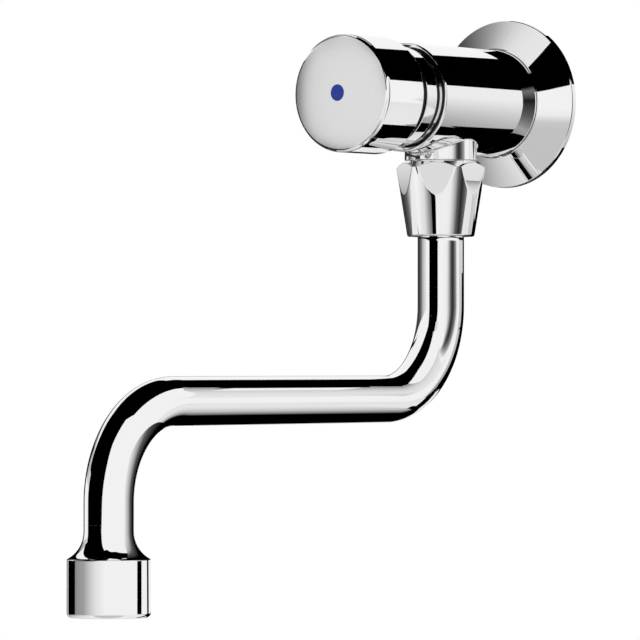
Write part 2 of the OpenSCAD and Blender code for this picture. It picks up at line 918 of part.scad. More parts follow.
// Section of the spout's tube
module tube_section() {
    difference() {
        circle(r = tube_r);
        circle(r = tube_bore_r);
    }
}

// A quarter bend of the tube, about Z, from +X to +Y
module tube_bend() {
    rotate_extrude(angle = 90)
        translate([bend_r, 0])
            tube_section();
}

// Tube: down from the nut, forward through a bend, and down again to the nozzle
module spout_tube() {
    z_top = z_socket_top - seat_gap;
    color(chrome)
        translate([0, -s_spout, 0]) {
            translate([0, 0, z_bend_top])
                linear_extrude(z_top - z_bend_top)
                    tube_section();
            translate([0, -bend_r, z_bend_top])
                rotate([-90, 0, 90])
                    tube_bend();
            translate([0, -bend_r, -spout_drop])
                rotate([90, 0, 0])
                    linear_extrude(run_length)
                        tube_section();
            translate([0, bend_r - spout_reach, z_tail_top])
                rotate([180, -90, 0])
                    tube_bend();
            translate([0, -spout_reach, z_nozzle_top])
                linear_extrude(tail_length)
                    tube_section();
        }
}

// Collar soldered to the tube's top: it turns in the body and its flange rests on the slip ring
module spout_collar() {
    socket_r = tube_r + seat_gap;
    color(brass)
        difference() {
            turned_spout([
                [socket_r, z_flange_low],
                [collar_flange_r, z_flange_low],
                [collar_flange_r, z_flange_top],
                [swivel_r, z_flange_top],
                [swivel_r, z_swivel_top],
                [collar_bore_d / 2, z_swivel_top],
                [collar_bore_d / 2, z_socket_top],
                [socket_r, z_socket_top]
            ]);
            for (i = [0, 1])
                turned_spout(groove(swivel_ring_r - seat_gap, swivel_r + cut, z_upper_ring - i * swivel_ring_pitch));
        }
}

module collar_o_rings() {
    color(rubber)
        for (i = [0, 1])
            translate([0, -s_spout, z_upper_ring - i * swivel_ring_pitch])
                rotate_extrude()
                    translate([swivel_ring_r + cord_d / 2, 0])
                        circle(d = cord_d);
}

// Nozzle: a spigot in the tube, a hollow flare and a cylinder with a recessed mouth
module outlet_nozzle() {
    bore_r = nozzle_bore_d / 2;
    color(chrome)
        turned_spout(
            [
                [bore_r, z_mouth_top],
                [mouth_r, z_mouth_top],
                [mouth_r, z_outlet + seat_lip],
                [mouth_r + seat_lip, z_outlet],
                [nozzle_r, z_outlet, nozzle_edge],
                [nozzle_r, z_shoulder, seat_lip / 2],
                [tube_r, z_flare, flare_r],
                [tube_r, z_nozzle_top],
                [nozzle_spigot_r, z_nozzle_top],
                [nozzle_spigot_r, z_nozzle_top + nozzle_spigot],
                [bore_r, z_nozzle_top + nozzle_spigot]
            ],
            spout_reach
        );
}

// Straightener: a ring and a hub joined by thin vanes
module flow_straightener() {
    outer = mouth_r - seat_gap;
    hub_r = 2 * vane_thickness;
    color(acetal)
        translate([0, -s_spout - spout_reach, z_straightener_low])
            linear_extrude(straightener_length) {
                difference() {
                    circle(r = outer);
                    circle(r = outer - 2 * vane_thickness);
                }
                circle(r = hub_r);
                for (i = [0:straightener_vanes - 1])
                    rotate(i * 360 / straightener_vanes)
                        translate([0, -vane_thickness / 2])
                            square([outer - vane_thickness, vane_thickness]);
            }
}

module outlet_gasket() {
    color(rubber)
        turned_spout(
            ring(nozzle_bore_d / 2, mouth_r - seat_gap, z_straightener_top, z_mouth_top),
            spout_reach
        );
}

wall_flange();
flange_o_ring();
tap_body();
inlet_strainer();
cartridge_head();
guide_bush();
timing_sleeve();
sleeve_o_ring();
stem_o_ring();
metering_pin();
valve_cage();
seat_gasket();
return_spring();
spout_nut();
slip_ring();
push_button();
colour_index();
plunger_stem();
timing_piston();
piston_seal();
piston_clip();
valve_holder();
valve_washer();
valve_nut();
spout_tube();
spout_collar();
collar_o_rings();
outlet_nozzle();
flow_straightener();
outlet_gasket();
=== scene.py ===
"""Push timed tap, dressed for rendering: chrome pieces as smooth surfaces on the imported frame, in a studio."""

import json
import math

import bpy
import numpy as np
from bpy.props import FloatProperty, FloatVectorProperty, IntProperty, PointerProperty
from mathutils import Matrix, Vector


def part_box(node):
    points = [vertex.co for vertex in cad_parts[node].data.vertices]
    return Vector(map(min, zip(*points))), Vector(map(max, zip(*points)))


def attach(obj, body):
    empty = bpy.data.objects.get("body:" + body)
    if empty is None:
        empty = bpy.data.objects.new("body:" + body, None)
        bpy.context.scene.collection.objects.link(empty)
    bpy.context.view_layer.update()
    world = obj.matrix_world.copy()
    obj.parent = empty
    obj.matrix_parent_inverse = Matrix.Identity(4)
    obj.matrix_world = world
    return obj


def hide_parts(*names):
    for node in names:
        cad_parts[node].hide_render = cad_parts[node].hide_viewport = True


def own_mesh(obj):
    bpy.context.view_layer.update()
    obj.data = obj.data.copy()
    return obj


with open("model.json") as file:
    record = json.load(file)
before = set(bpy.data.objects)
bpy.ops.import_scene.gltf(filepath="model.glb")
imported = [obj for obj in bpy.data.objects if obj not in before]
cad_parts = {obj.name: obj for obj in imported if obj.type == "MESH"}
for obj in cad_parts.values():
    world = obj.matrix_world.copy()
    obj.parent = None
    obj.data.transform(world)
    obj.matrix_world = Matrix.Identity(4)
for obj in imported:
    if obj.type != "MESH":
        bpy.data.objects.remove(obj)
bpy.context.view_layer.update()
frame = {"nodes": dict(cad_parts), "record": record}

bl_info = {
    "name": "Push timed tap",
    "version": (1, 0, 0),
    "blender": (4, 5, 0),
    "location": "3D View > Sidebar > Push tap",
    "description": "Builds the visible pieces of a wall-mounted push tap on its packed frame",
    "category": "Object",
}

MM = 0.001
X, Y, Z = range(3)
FULL_TURN = 2 * math.pi
EDGE_BREAK = 0.12 * MM
ARC_STEP = math.radians(7)
LEAST_ARC_STEPS = 4
BOX = {name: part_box(name) for name in frame["nodes"]}


def radius_of(node):
    """Half width of a node, which for a turned piece is its radius."""
    return BOX[node][1].x


def back_of(node):
    """Distance from the wall plane to a node's end nearest the wall."""
    return -BOX[node][1].y


def front_of(node):
    """Distance from the wall plane to a node's furthest end."""
    return -BOX[node][0].y


def middle_of(node):
    """Distance from the wall plane to a node's middle."""
    return (front_of(node) + back_of(node)) / 2


def low_of(node):
    """Lowest level of a node."""
    return BOX[node][0].z


def top_of(node):
    """Highest level of a node."""
    return BOX[node][1].z


def size(name, description, default):
    """A length that a user can set."""
    return FloatProperty(name=name, description=description, default=default, unit="LENGTH", precision=5)


def angle(name, description, degrees):
    """An angle that a user can set."""
    return FloatProperty(name=name, description=description, default=math.radians(degrees), unit="ROTATION")


def share(name, description, default):
    """A share from 0 to 1 that a user can set."""
    return FloatProperty(name=name, description=description, default=default, min=0, max=1, subtype="FACTOR")


def tint(name, description, default):
    """A colour that a user can set."""
    return FloatVectorProperty(name=name, description=description, default=default, min=0, max=1, subtype="COLOR")


# Surfaces

def unit(vectors):
    """Vectors divided by their lengths."""
    return vectors / np.linalg.norm(vectors, axis=-1, keepdims=True)


def arc(centre, radius, start, end, facing=1):
    """Rows (radius, level, normal) on an arc: centre plus radius times the ray at each angle from start to end."""
    steps = max(LEAST_ARC_STEPS, math.ceil(abs(end - start) / ARC_STEP))
    turn = np.linspace(start, end, steps + 1)
    ray = np.stack((np.cos(turn), np.sin(turn)), 1)
    return np.hstack((np.array(centre) + radius * ray, facing * ray))


def straight(radius, levels, facing=1):
    """Rows along a straight side of one radius, with a row at each level."""
    levels = np.asarray(levels, float)
    flat = np.zeros_like(levels)
    return np.stack((flat + radius, levels, flat + facing, flat), 1)


def slope(start, end, steps):
    """Rows along a straight side between two points, with normals to the right of the way it runs."""
    start, end = np.array(start), np.array(end)
    along = unit(end - start)
    part = np.linspace(0, 1, steps + 1)[:, None]
    rows = start + (end - start) * part
    return np.hstack((rows, np.broadcast_to((along[1], -along[0]), rows.shape)))


def rounded(before, at, after, radius):
    """Rows on the arc that rounds a corner: its centre lies on the bisector, its ends where the sides leave it."""
    a, b = unit(before - at), unit(after - at)
    half = math.acos(np.clip(a @ b, -1, 1)) / 2
    centre = at + unit(a + b) * radius / math.sin(half)
    first = at + a * radius / math.tan(half) - centre
    last = at + b * radius / math.tan(half) - centre
    start = math.atan2(first[1], first[0])
    turn = (math.atan2(last[1], last[0]) - start + 3 * math.pi) % FULL_TURN - math.pi
    return arc(centre, radius, start, start + turn, 1 if turn > 0 else -1)


def outline(parts, closed=True):
    """Joins corners (radius, level, rounding) and ready rows into one outline with the solid on its left."""
    ends = [(p[0, :2], p[-1, :2]) if isinstance(p, np.ndarray) else (np.array(p[:2]),) * 2 for p in parts]
    last = len(parts) - 1
    rows = []
    for i, part in enumerate(parts):
        if isinstance(part, np.ndarray):
            rows.append(part)
        elif not closed and i in (0, last):
            along = unit(ends[1][0] - ends[0][1] if i == 0 else ends[last][0] - ends[last - 1][1])
            rows.append(np.array([[*part[:2], along[1], -along[0]]]))
        else:
            rounding = part[2] if len(part) > 2 else EDGE_BREAK
            rows.append(rounded(ends[i - 1][1], ends[i][0], ends[(i + 1) % len(parts)][0], rounding))
    return np.vstack(rows)


def line_path(start, along, side):
    """A straight path: start plus level times the direction along it, with two directions across."""
    start, along, side = (np.array(v, float) for v in (start, along, side))
    across = np.cross(along, side)

    def path(levels):
        like = np.zeros((len(levels), 3))
        return start + levels[:, None] * along, like + along, like + side, like + across

    return path


def carried(rows, path, segments):
    """An outline carried round a path: path(level) + radius * (cos a * side + sin a * across), for a right round."""
    centre, along, side, across = (v[:, None, :] for v in path(rows[:, 1]))
    turn = np.linspace(0, FULL_TURN, segments, endpoint=False)[None, :, None]
    ray = np.cos(turn) * side + np.sin(turn) * across
    points = centre + rows[:, 0, None, None] * ray
    normals = rows[:, 2, None, None] * ray + rows[:, 3, None, None] * along
    return points, normals


def shell(points, normals, poles=False):
    """Vertices, normals and faces of a grid that closes round its rings, and end to end or in a pole at each end."""
    rows, segments = points.shape[:2]
    ring = np.arange(rows * segments).reshape(rows, segments)
    if poles:
        ring = ring - segments + 1
        ring[0], ring[-1] = 0, (rows - 2) * segments + 1
        points = np.vstack((points[0, :1], points[1:-1].reshape(-1, 3), points[-1, :1]))
        normals = np.vstack((normals[0, :1], normals[1:-1].reshape(-1, 3), normals[-1, :1]))
    after, beside = np.roll(ring, -1, 0), np.roll(ring, -1, 1)
    quads = np.stack((ring, beside, np.roll(after, -1, 1), after), -1)
    points, normals = points.reshape(-1, 3), unit(normals.reshape(-1, 3))
    triangles = np.zeros((0, 3), int)
    if poles:
        triangles = np.vstack((quads[0][:, 1:], quads[-2][:, :3]))
        quads = quads[1:-2]
    quads = quads.reshape(-1, 4)
    fans = np.vstack((quads[:, :3], quads[:, [0, 2, 3]], triangles))
    p, q, r = (points[fans[:, k]] for k in range(3))
    turned = np.cross(q - p, r - p)
    if np.sum(p * np.cross(q, r)) < 0:
        quads, triangles, turned = quads[:, ::-1], triangles[:, ::-1], -turned
    if np.sum(turned * normals[fans[:, 0]]) < 0:
        normals = -normals
    return points, normals, quads, triangles


def placed(name, points, faces, material):
    """A new mesh in the scene, at the origin."""
    mesh = bpy.data.meshes.new(name)
    mesh.from_pydata(points, [], faces)
    mesh.materials.append(material)
    made = bpy.data.objects.new(name, mesh)
    bpy.context.scene.collection.objects.link(made)
    return made


def piece(name, shells, material, body, nodes):
    """Puts closed shells into one smooth mesh, which rides on a body and stands for CAD nodes."""
    firsts = np.cumsum([0] + [len(s[0]) for s in shells])
    faces = [f for s, first in zip(shells, firsts) for k in (2, 3) for f in (s[k] + first).tolist()]
    made = placed(name, np.vstack([s[0] for s in shells]), faces, material)
    mesh = made.data
    mesh.shade_smooth()
    mesh.normals_split_custom_set_from_vertices(np.vstack([s[1] for s in shells]))
    if mesh.validate():
        raise ValueError(f"the mesh of {name} has faulty faces")
    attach(made, body)
    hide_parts(*nodes)
    return made


TAP_AXIS = line_path((0, 0, 0), (0, -1, 0), (1, 0, 0))


# Materials

CLOUD_ROUGHNESS = 0.03
# Widths where the gap's painted shade and the satin fade into plate, and Y places between which the plate ends
GAP_EDGE, SATIN_EDGE = 0.3 * MM, 0.15 * MM
BARE_EDGE = (-1.2 * MM, -0.6 * MM)
# Where the satin of the button's face ends: in from the side as a share of the edge's radius, and behind the crown
SATIN_INSET, SATIN_DEPTH, SATIN_BACK = 0.8, 5 * MM, 0.5 * MM


class Shade:
    """A socket of a material's nodes: arithmetic on it adds Math nodes, and node() adds any other kind."""

    def __init__(self, tree, socket=None):
        self.tree = tree
        self.socket = socket

    def node(self, kind, settings, inputs, output=0):
        """Adds a node: its settings, a ramp's stops among them, then the values or links of its sockets."""
        made = self.tree.nodes.new("ShaderNode" + kind)
        for key, value in settings.items():
            if key == "stops":
                stops = made.color_ramp.elements
                for i, (place, colour) in enumerate(value):
                    stop = stops[i] if i < len(stops) else stops.new(place)
                    stop.position, stop.color = place, colour
            else:
                setattr(made, key, value)
        for key, value in inputs.items():
            if isinstance(value, Shade):
                self.tree.links.new(value.socket, made.inputs[key])
            else:
                made.inputs[key].default_value = value
        return Shade(self.tree, made.outputs[output] if made.outputs else None)

    def math(self, operation, first, second):
        """A Math node on two values."""
        return self.node("Math", {"operation": operation}, {0: first, 1: second})

    def __add__(self, other):
        return self.math("ADD", self, other)

    def __sub__(self, other):
        return self.math("SUBTRACT", self, other)

    def __rsub__(self, other):
        return self.math("SUBTRACT", other, self)

    def __mul__(self, other):
        return self.math("MULTIPLY", self, other)

    __radd__ = __add__
    __rmul__ = __mul__

    def step(self, low, high):
        """A smooth step from 0 at low to 1 at high."""
        settings = {"interpolation_type": "SMOOTHSTEP"}
        return self.node("MapRange", settings, {0: self, 1: low, 2: high, 3: 0.0, 4: 1.0})

    def mix(self, first, second):
        """A colour from the first to the second as this value goes from 0 to 1."""
        return self.node("Mix", {"data_type": "RGBA"}, {0: self, 6: first, 7: second}, 2)

    def shades(self, colour, low, high):
        """A colour from low to high times its brightness as this value goes from 0 to 1."""
        return self.mix(scaled(colour, low), scaled(colour, high))


def scaled(colour, by):
    """A colour made lighter or darker, with its alpha."""
    return (*(min(1.0, c * by) for c in colour), 1.0)


class Finish:
    """A material that is being made, with the places and noises that most of the finishes read."""

    def __init__(self, name):
        self.material = bpy.data.materials.new(name)
        self.material.use_nodes = True
        self.material.node_tree.nodes.clear()
        self.start = Shade(self.material.node_tree)
        self.place = self.start.node("TexCoord", {}, {}, 3)

    def noise(self, scale, detail=2.0):
        """A cloudy value from 0 to 1 with so many blotches to a metre."""
        inputs = {"Vector": self.place, "Scale": scale, "Detail": detail, "Roughness": 0.5}
        return self.start.node("TexNoise", {}, inputs)

    def along(self, axis):
        """One coordinate of the place."""
        return self.start.node("SeparateXYZ", {}, {0: self.place}, axis)

    def from_tap_axis(self):
        """Distance from the tap's axis, which is the Y axis."""
        flat = self.start.node("VectorMath", {"operation": "MULTIPLY"}, {0: self.place, 1: (1.0, 0.0, 1.0)})
        return self.start.node("VectorMath", {"operation": "LENGTH"}, {0: flat}, 1)

    def bump(self, height, depth):
        """A normal that a height from 0 to 1 presses out by a depth."""
        return self.start.node("Bump", {}, {"Strength": 1.0, "Distance": depth, "Height": height})

    def shader(self, inputs):
        """Ends the material in one Principled shader."""
        made = self.start.node("BsdfPrincipled", {}, inputs)
        self.start.node("OutputMaterial", {}, {"Surface": made})
        return self.material


class Plate(Finish):
    """Polished plate that is being made: faint clouding of colour and gloss, and what unevenness polishing leaves."""

    def __init__(self, name, settings):
        super().__init__(name)
        cloud = self.noise(22.0, 4.0)
        self.polish = self.noise(700.0)
        self.colour = cloud.shades(settings.chrome, 0.97, 1.02)
        self.roughness = cloud * CLOUD_ROUGHNESS + (settings.chrome_roughness - CLOUD_ROUGHNESS / 2)
        self.depth = settings.polish_depth

    def metal(self, colour, roughness, height):
        """Ends the material as bare metal or as plate."""
        normal = self.bump(height, self.depth)
        return self.shader({"Base Color": colour, "Metallic": 1.0, "Roughness": roughness, "Normal": normal})


def polished_chrome(settings):
    """Bright plate all over."""
    made = Plate("polished_chrome", settings)
    return made.metal(made.colour, made.roughness, made.polish)


def collar_chrome(settings, shade_radius, start):
    """Polished plate on the collar, and painted shade, near black and rougher, inside a radius from a start level on.
    """
    made = Plate("collar_chrome", settings)
    # Painted shade: the gap behind the collar and the neck are painted near black, as if in shadow, inside the radius
    # and from the start level on
    painted_shade = 1 - made.from_tap_axis().step(shade_radius - GAP_EDGE, shade_radius)
    painted_shade = painted_shade * (0 - made.along(Y)).step(start - GAP_EDGE, start)
    colour = painted_shade.mix(made.colour, scaled(settings.chrome, 0.02))
    return made.metal(colour, made.roughness + painted_shade * 0.3, made.polish)


def body_chrome(settings):
    """Polished plate that stops at the wall plane, with bare turned brass on the threaded inlet behind it."""
    made = Plate("body_chrome", settings)
    grain = made.noise(260.0, 5.0)
    bare = made.along(Y).step(*BARE_EDGE)
    brass = grain.shades(settings.brass, 0.8, 1.1)
    roughness = made.roughness + bare * (grain * 0.2 + 0.14)
    return made.metal(bare.mix(made.colour, brass), roughness, made.polish + bare * grain * 6.0)


def satin_faced_chrome(settings, face_radius, face_level):
    """Polished plate on the button's side and edge, and a fine satin grain on its face."""
    made = Plate("satin_faced_chrome", settings)
    grain = made.noise(2600.0, 3.0)
    face = 1 - made.from_tap_axis().step(face_radius - SATIN_EDGE, face_radius + SATIN_EDGE)
    face = face * (0 - made.along(Y)).step(face_level - SATIN_BACK, face_level)
    satin = grain.shades(settings.satin, 0.94, 1.06)
    roughness = made.roughness + face * (grain * 0.08 + settings.satin_roughness)
    return made.metal(face.mix(made.colour, satin), roughness, made.polish + face * grain)


def index_plastic(settings):
    """Glossy moulded plastic with a faint swirl of pigment."""
    made = Finish("index_plastic")
    swirl = made.noise(900.0, 3.0)
    return made.shader({
        "Base Color": swirl.shades(settings.index, 0.9, 1.12),
        "Roughness": swirl * 0.1 + 0.22,
        "Normal": made.bump(made.noise(1500.0), 4e-6),
        "IOR": 1.3,
    })


def turned_brass(settings):
    """Machined brass: tool marks that run round the axis, and a slight tarnish."""
    made = Finish("turned_brass")
    tarnish = made.noise(120.0, 5.0)
    inputs = {"Vector": made.place, "Scale": 900.0, "Distortion": 0.6}
    marks = made.start.node("TexWave", {"bands_direction": "Y"}, inputs)
    return made.shader({
        "Base Color": tarnish.shades(settings.brass, 0.75, 1.1),
        "Metallic": 1.0,
        "Roughness": tarnish * 0.2 + 0.2,
        "Normal": made.bump(marks, 6e-6),
    })


def drawn_steel(settings):
    """Stainless steel with fine drawing lines and an uneven sheen."""
    made = Finish("drawn_steel")
    sheen = made.noise(300.0, 4.0)
    lines = made.noise(4000.0, 2.0)
    return made.shader({
        "Base Color": sheen.shades(settings.steel, 0.85, 1.1),
        "Metallic": 1.0,
        "Roughness": sheen * 0.16 + 0.2,
        "Normal": made.bump(lines, 4e-6),
    })


def moulded_acetal(settings):
    """White moulded plastic with a soft sheen and a slight warm mottle."""
    made = Finish("moulded_acetal")
    mottle = made.noise(260.0, 3.0)
    return made.shader({
        "Base Color": mottle.shades(settings.acetal, 0.93, 1.04),
        "Roughness": mottle * 0.14 + 0.34,
        "Normal": made.bump(made.noise(1800.0), 8e-6),
    })


def nitrile_rubber(settings):
    """Black rubber with a dusty bloom and a dull, pitted skin."""
    made = Finish("nitrile_rubber")
    bloom = made.noise(420.0, 5.0)
    return made.shader({
        "Base Color": bloom.shades(settings.rubber, 0.6, 2.0),
        "Roughness": bloom * 0.25 + 0.5,
        # Black rubber with a dusty bloom and a matt, pitted skin.
        "Normal": made.bump(made.noise(2600.0, 4.0), 2e-5),
    })


# Sizes and colours that can be set

class FlangeSizes(bpy.types.PropertyGroup):
    """Sizes of the wall flange."""
    radius: size("Radius", "Outside radius at the wall", radius_of("wall_flange"))
    depth: size("Depth", "Depth from the wall to the lip", front_of("wall_flange"))
    rim: size("Rim", "Height of the straight rim at the wall", 2.4 * MM)
    wall: size("Wall", "Thickness of the shell", 1.6 * MM)
    edge: size("Edge", "Radius on the edge of the rim", 0.8 * MM)
    bore: size("Bore", "Radius of the hole round the body", 21.15 * MM)
    lip: size("Lip", "Width of the lip round the body", 0.5 * MM)
    sleeve: size("Sleeve", "Length of the sleeve on the body", 5.5 * MM)
    sleeve_wall: size("Sleeve wall", "Wall of that sleeve", 1.8 * MM)


class BodySizes(bpy.types.PropertyGroup):
    """Sizes of the body, its boss and its threaded inlet."""
    radius: size("Radius", "Outside radius", radius_of("tap_body"))
    reach: size("Reach", "Distance from the wall to the front face", front_of("tap_body"))
    standoff: size("Standoff", "Distance from the wall to the back face", 2.4 * MM)
    edge: size("Edge", "Radius on the front edge", 0.8 * MM)
    thread: size("Cartridge thread", "Radius of the thread in the front", 18.5 * MM)
    thread_end: size("Thread end", "Level where that thread ends", 57.5 * MM)
    bore: size("Bore", "Radius of the cartridge bore", 16 * MM)
    shoulder: size("Shoulder", "Level of the shoulder under the valve seat", 31 * MM)
    chamber: size("Chamber", "Radius of the valve chamber", 12 * MM)
    chamber_back: size("Chamber end", "Level of the chamber's back", 11 * MM)
    groove: size("Groove", "Radius of the groove for the flange's sealing ring", 19.3 * MM)
    groove_level: size("Groove level", "Level of that groove", 6.95 * MM)
    groove_width: size("Groove width", "Width of that groove", 2.1 * MM)
    inlet: size("Inlet thread", "Major radius of the inlet thread", 10.4775 * MM)
    inlet_bore: size("Inlet bore", "Radius of the inlet bore", 6.5 * MM)
    inlet_end: size("Inlet end", "Level of the inlet's end behind the wall", back_of("tap_body"))
    chamfer: size("Inlet chamfer", "Chamfer at the inlet's end", 1 * MM)
    pitch: size("Thread pitch", "Pitch of the inlet thread", 1.814 * MM)
    depth: size("Thread depth", "Depth of the inlet thread", 1.162 * MM)
    boss: size("Boss", "Radius of the boss under the body", 14.02 * MM)
    boss_low: size("Boss end", "Level of the boss's lower face", -23.7 * MM)
    spigot: size("Spigot", "Radius of the threaded spigot under the boss", 13.22 * MM)
    spigot_low: size("Spigot end", "Level of the spigot's end", low_of("tap_body"))
    swivel: size("Swivel bore", "Radius of the bore that the spout turns in", 10.07 * MM)
    swivel_top: size("Swivel bore end", "Level of the top of that bore", -22.85 * MM)
    way: size("Water way", "Radius of the water way to the spout", 7.5 * MM)
    fillet: size("Fillet", "Radius between the boss and the body", 1.1 * MM)


class HeadSizes(bpy.types.PropertyGroup):
    """Sizes of the cartridge head."""
    screw: size("Screw", "Radius of the head's thread", 18.48 * MM)
    back: size("Back", "Level of the head's end in the body", back_of("cartridge_head"))
    bore: size("Bore", "Radius of the bore round the timing cylinder", 15.5 * MM)
    collar: size("Collar", "Radius of the collar", radius_of("cartridge_head"))
    collar_back: size("Collar back", "Level of the collar's back face", 72.7 * MM)
    collar_front: size("Collar front", "Level of the collar's front face", 79.6 * MM)
    back_edge: size("Back edge", "Radius on the collar's back edge", 0.9 * MM)
    neck: size("Neck", "Radius of the neck", 19 * MM)
    # The next two sizes place painted shade: near black inside the neck's radius plus this edge, from the gap behind
    # the collar on
    plate_edge: size("Plate edge", "How far outside the neck the plate starts", 0.5 * MM)
    gap: size("Gap", "Length of the dark gap behind the collar", 2.4 * MM)
    front: size("Front", "Level of the neck's end", front_of("cartridge_head"))
    recess: size("Recess", "Radius of the recess in the neck", 16.4 * MM)
    guide: size("Guide", "Radius of the hole in the guide wall", 7 * MM)
    guide_front: size("Guide front", "Level of the guide wall's front", 82 * MM)
    guide_back: size("Guide back", "Level of the guide wall's back", 78 * MM)


class ButtonSizes(bpy.types.PropertyGroup):
    """Sizes of the push button and its colour index."""
    radius: size("Radius", "Outside radius", radius_of("push_button"))
    back: size("Back", "Level of the skirt's end", back_of("push_button"))
    top: size("Top", "Level of the crown's middle", front_of("colour_index"))
    crown: size("Crown radius", "Radius of the crowned face", 102.5 * MM)
    edge: size("Edge", "Radius on the edge of the face", 1.6 * MM)
    skirt: size("Skirt", "Radius inside the skirt", 20.5 * MM)
    face_inside: size("Face inside", "Level of the face's inside", 105.1 * MM)
    hub: size("Hub", "Radius of the hub", 7 * MM)
    hub_end: size("Hub end", "Level of the hub's end", 93.35 * MM)
    socket: size("Socket", "Radius of the hub's socket for the stem", 4.02 * MM)
    index: size("Index", "Radius of the colour index", radius_of("colour_index"))
    index_back: size("Index back", "Level of the colour index's back", back_of("colour_index"))
    index_gap: size("Index gap", "Gap round the colour index", 0.02 * MM)


class NutSizes(bpy.types.PropertyGroup):
    """Sizes of the spout's coupling nut."""
    flat: size("Flats", "Distance from the axis to a flat", radius_of("spout_nut"))
    top: size("Top", "Level of the nut's top", top_of("spout_nut"))
    low: size("Foot", "Level of the nut's foot", low_of("spout_nut"))
    cone: size("Cone", "Radius of the cone under the chamfer", 17.24 * MM)
    foot: size("Foot radius", "Radius of the cone at its foot", 13 * MM)
    chamfer: size("Chamfer", "Chamfer at the top", 2.4 * MM)
    edge: size("Foot edge", "Radius on the foot's edge", 0.8 * MM)
    crease: size("Crease", "Softness of the edges between cone and flats", 0.05 * MM)
    hole: size("Hole", "Radius of the hole round the tube", 9.35 * MM)
    bore: size("Bore", "Radius of the nut's thread", 13.24 * MM)
    floor: size("Floor", "Level of the thread's lower end", -40.33 * MM)


class SpoutSizes(bpy.types.PropertyGroup):
    """Sizes of the spout's tube."""
    radius: size("Radius", "Outside radius of the tube", radius_of("spout_tube"))
    bore: size("Bore", "Inside radius of the tube", 8 * MM)
    axis: size("Axis", "Distance from the wall to the swivel axis", middle_of("spout_nut"))
    top: size("Top", "Level of the tube's top", top_of("spout_tube"))
    low: size("Low end", "Level of the tube's lower end", low_of("spout_tube"))
    bend: size("Bend", "Centre-line radius of both bends", 36 * MM)
    drop: size("Drop", "Level of the run's centre line below the body's axis", 116 * MM)
    end: size(
        "Outlet axis", "Distance from the wall to the outlet's axis", front_of("spout_tube") - radius_of("spout_tube"))


class NozzleSizes(bpy.types.PropertyGroup):
    """Sizes of the outlet nozzle."""
    radius: size("Radius", "Outside radius", radius_of("outlet_nozzle"))
    low: size("Low end", "Level of the outlet", low_of("outlet_nozzle"))
    top: size("Spigot top", "Level of the spigot's end in the tube", top_of("outlet_nozzle"))
    shoulder: size("Shoulder", "Level where the cylinder starts", -172.21 * MM)
    flare: size("Flare", "Level of the flare's corner", -168.88 * MM)
    flare_radius: size("Flare radius", "Radius of the hollow flare", 11 * MM)
    shoulder_edge: size("Shoulder edge", "Radius on the shoulder", 0.4 * MM)
    edge: size("Edge", "Radius on the lower edge", 1.6 * MM)
    mouth: size("Mouth", "Radius of the mouth", 12 * MM)
    mouth_top: size("Mouth top", "Level of the mouth's upper end", -180.81 * MM)
    chamfer: size("Mouth chamfer", "Chamfer at the mouth", 0.8 * MM)
    bore: size("Bore", "Radius of the bore through the neck", 6.5 * MM)
    spigot: size("Spigot", "Radius of the spigot in the tube", 7.98 * MM)


class SpringSizes(bpy.types.PropertyGroup):
    """Sizes of the return spring."""
    wire: size("Wire", "Radius of the wire", 0.8 * MM)
    coil: size("Coil", "Radius of the coil's centre line", 9 * MM)
    back: size("Back", "Level of the coil's end on the sleeve", back_of("return_spring"))
    front: size("Front", "Level of the coil's end on the piston", front_of("return_spring"))
    turns: IntProperty(name="Turns", description="Turns of the coil", default=5, min=1)
    anchor: size("Anchor", "Level that stays still when the button moves", 48 * MM)
    travel: size("Travel", "Travel of the button", 10 * MM)


class FinishSettings(bpy.types.PropertyGroup):
    """Colours and gloss of the finishes."""
    chrome: tint("Chrome", "Colour of the plate", (0.88, 0.882, 0.885))
    chrome_roughness: share("Chrome roughness", "Roughness of the polished plate", 0.03)
    polish_depth: size("Polish depth", "Depth of the unevenness that polishing leaves", 1e-6)
    satin: tint("Satin", "Colour of the button's face", (0.76, 0.76, 0.76))
    satin_roughness: share("Satin roughness", "Roughness of the button's face", 0.22)
    index: tint("Index", "Colour of the cold water mark", (0.014, 0.034, 0.26))
    brass: tint("Brass", "Colour of bare brass", (0.58, 0.42, 0.17))
    steel: tint("Steel", "Colour of stainless steel", (0.55, 0.56, 0.58))
    acetal: tint("Acetal", "Colour of the white plastic", (0.82, 0.81, 0.76))
    rubber: tint("Rubber", "Colour of the seals", (0.02, 0.02, 0.02))


class StageSettings(bpy.types.PropertyGroup):
    """Camera, floor and light."""
    azimuth: angle("Azimuth", "Angle of the camera to the right of the tap's front", 37.66)
    pitch: angle("Pitch", "Angle that the camera looks up", 0.51)
    distance: size("Distance", "Distance from the camera to the point it was set up on", 1.956)
    across: size("Across", "How far that point lies left of the picture's middle", 37.4 * MM)
    above: size("Above", "How far that point lies above the picture's middle", -24.43 * MM)
    lens: FloatProperty(name="Lens", description="Focal length in mm on a 36 mm sensor", default=285.4)
    floor: size("Floor", "Level of the floor", -0.6)
    background: share("Background", "Brightness of the background", 1.0)
    ambient: share("Ambient", "Brightness of the room's light on the object", 0.55)


class TapSettings(bpy.types.PropertyGroup):
    """All that can be set on the tap."""
    flange: PointerProperty(type=FlangeSizes)
    body: PointerProperty(type=BodySizes)
    head: PointerProperty(type=HeadSizes)
    button: PointerProperty(type=ButtonSizes)
    nut: PointerProperty(type=NutSizes)
    spout: PointerProperty(type=SpoutSizes)
    nozzle: PointerProperty(type=NozzleSizes)
    spring: PointerProperty(type=SpringSizes)
    finish: PointerProperty(type=FinishSettings)
    stage: PointerProperty(type=StageSettings)


# Pieces

ROUND_SEGMENTS = 192
NUT_SEGMENTS = 384
TUBE_SEGMENTS = 128
WIRE_SEGMENTS = 24
THREAD_ROWS = 140
FILLET_ROWS = 13
CONE_ROWS, CHAMFER_ROWS = 150, 24
SPOUT_ROWS = (6, 48, 12, 48, 3)
COIL_ROWS = 40
# Level behind the wall plane where the inlet's thread has run out
THREAD_STOP = -1.2 * MM
THREAD_RELIEF = 0.4 * MM
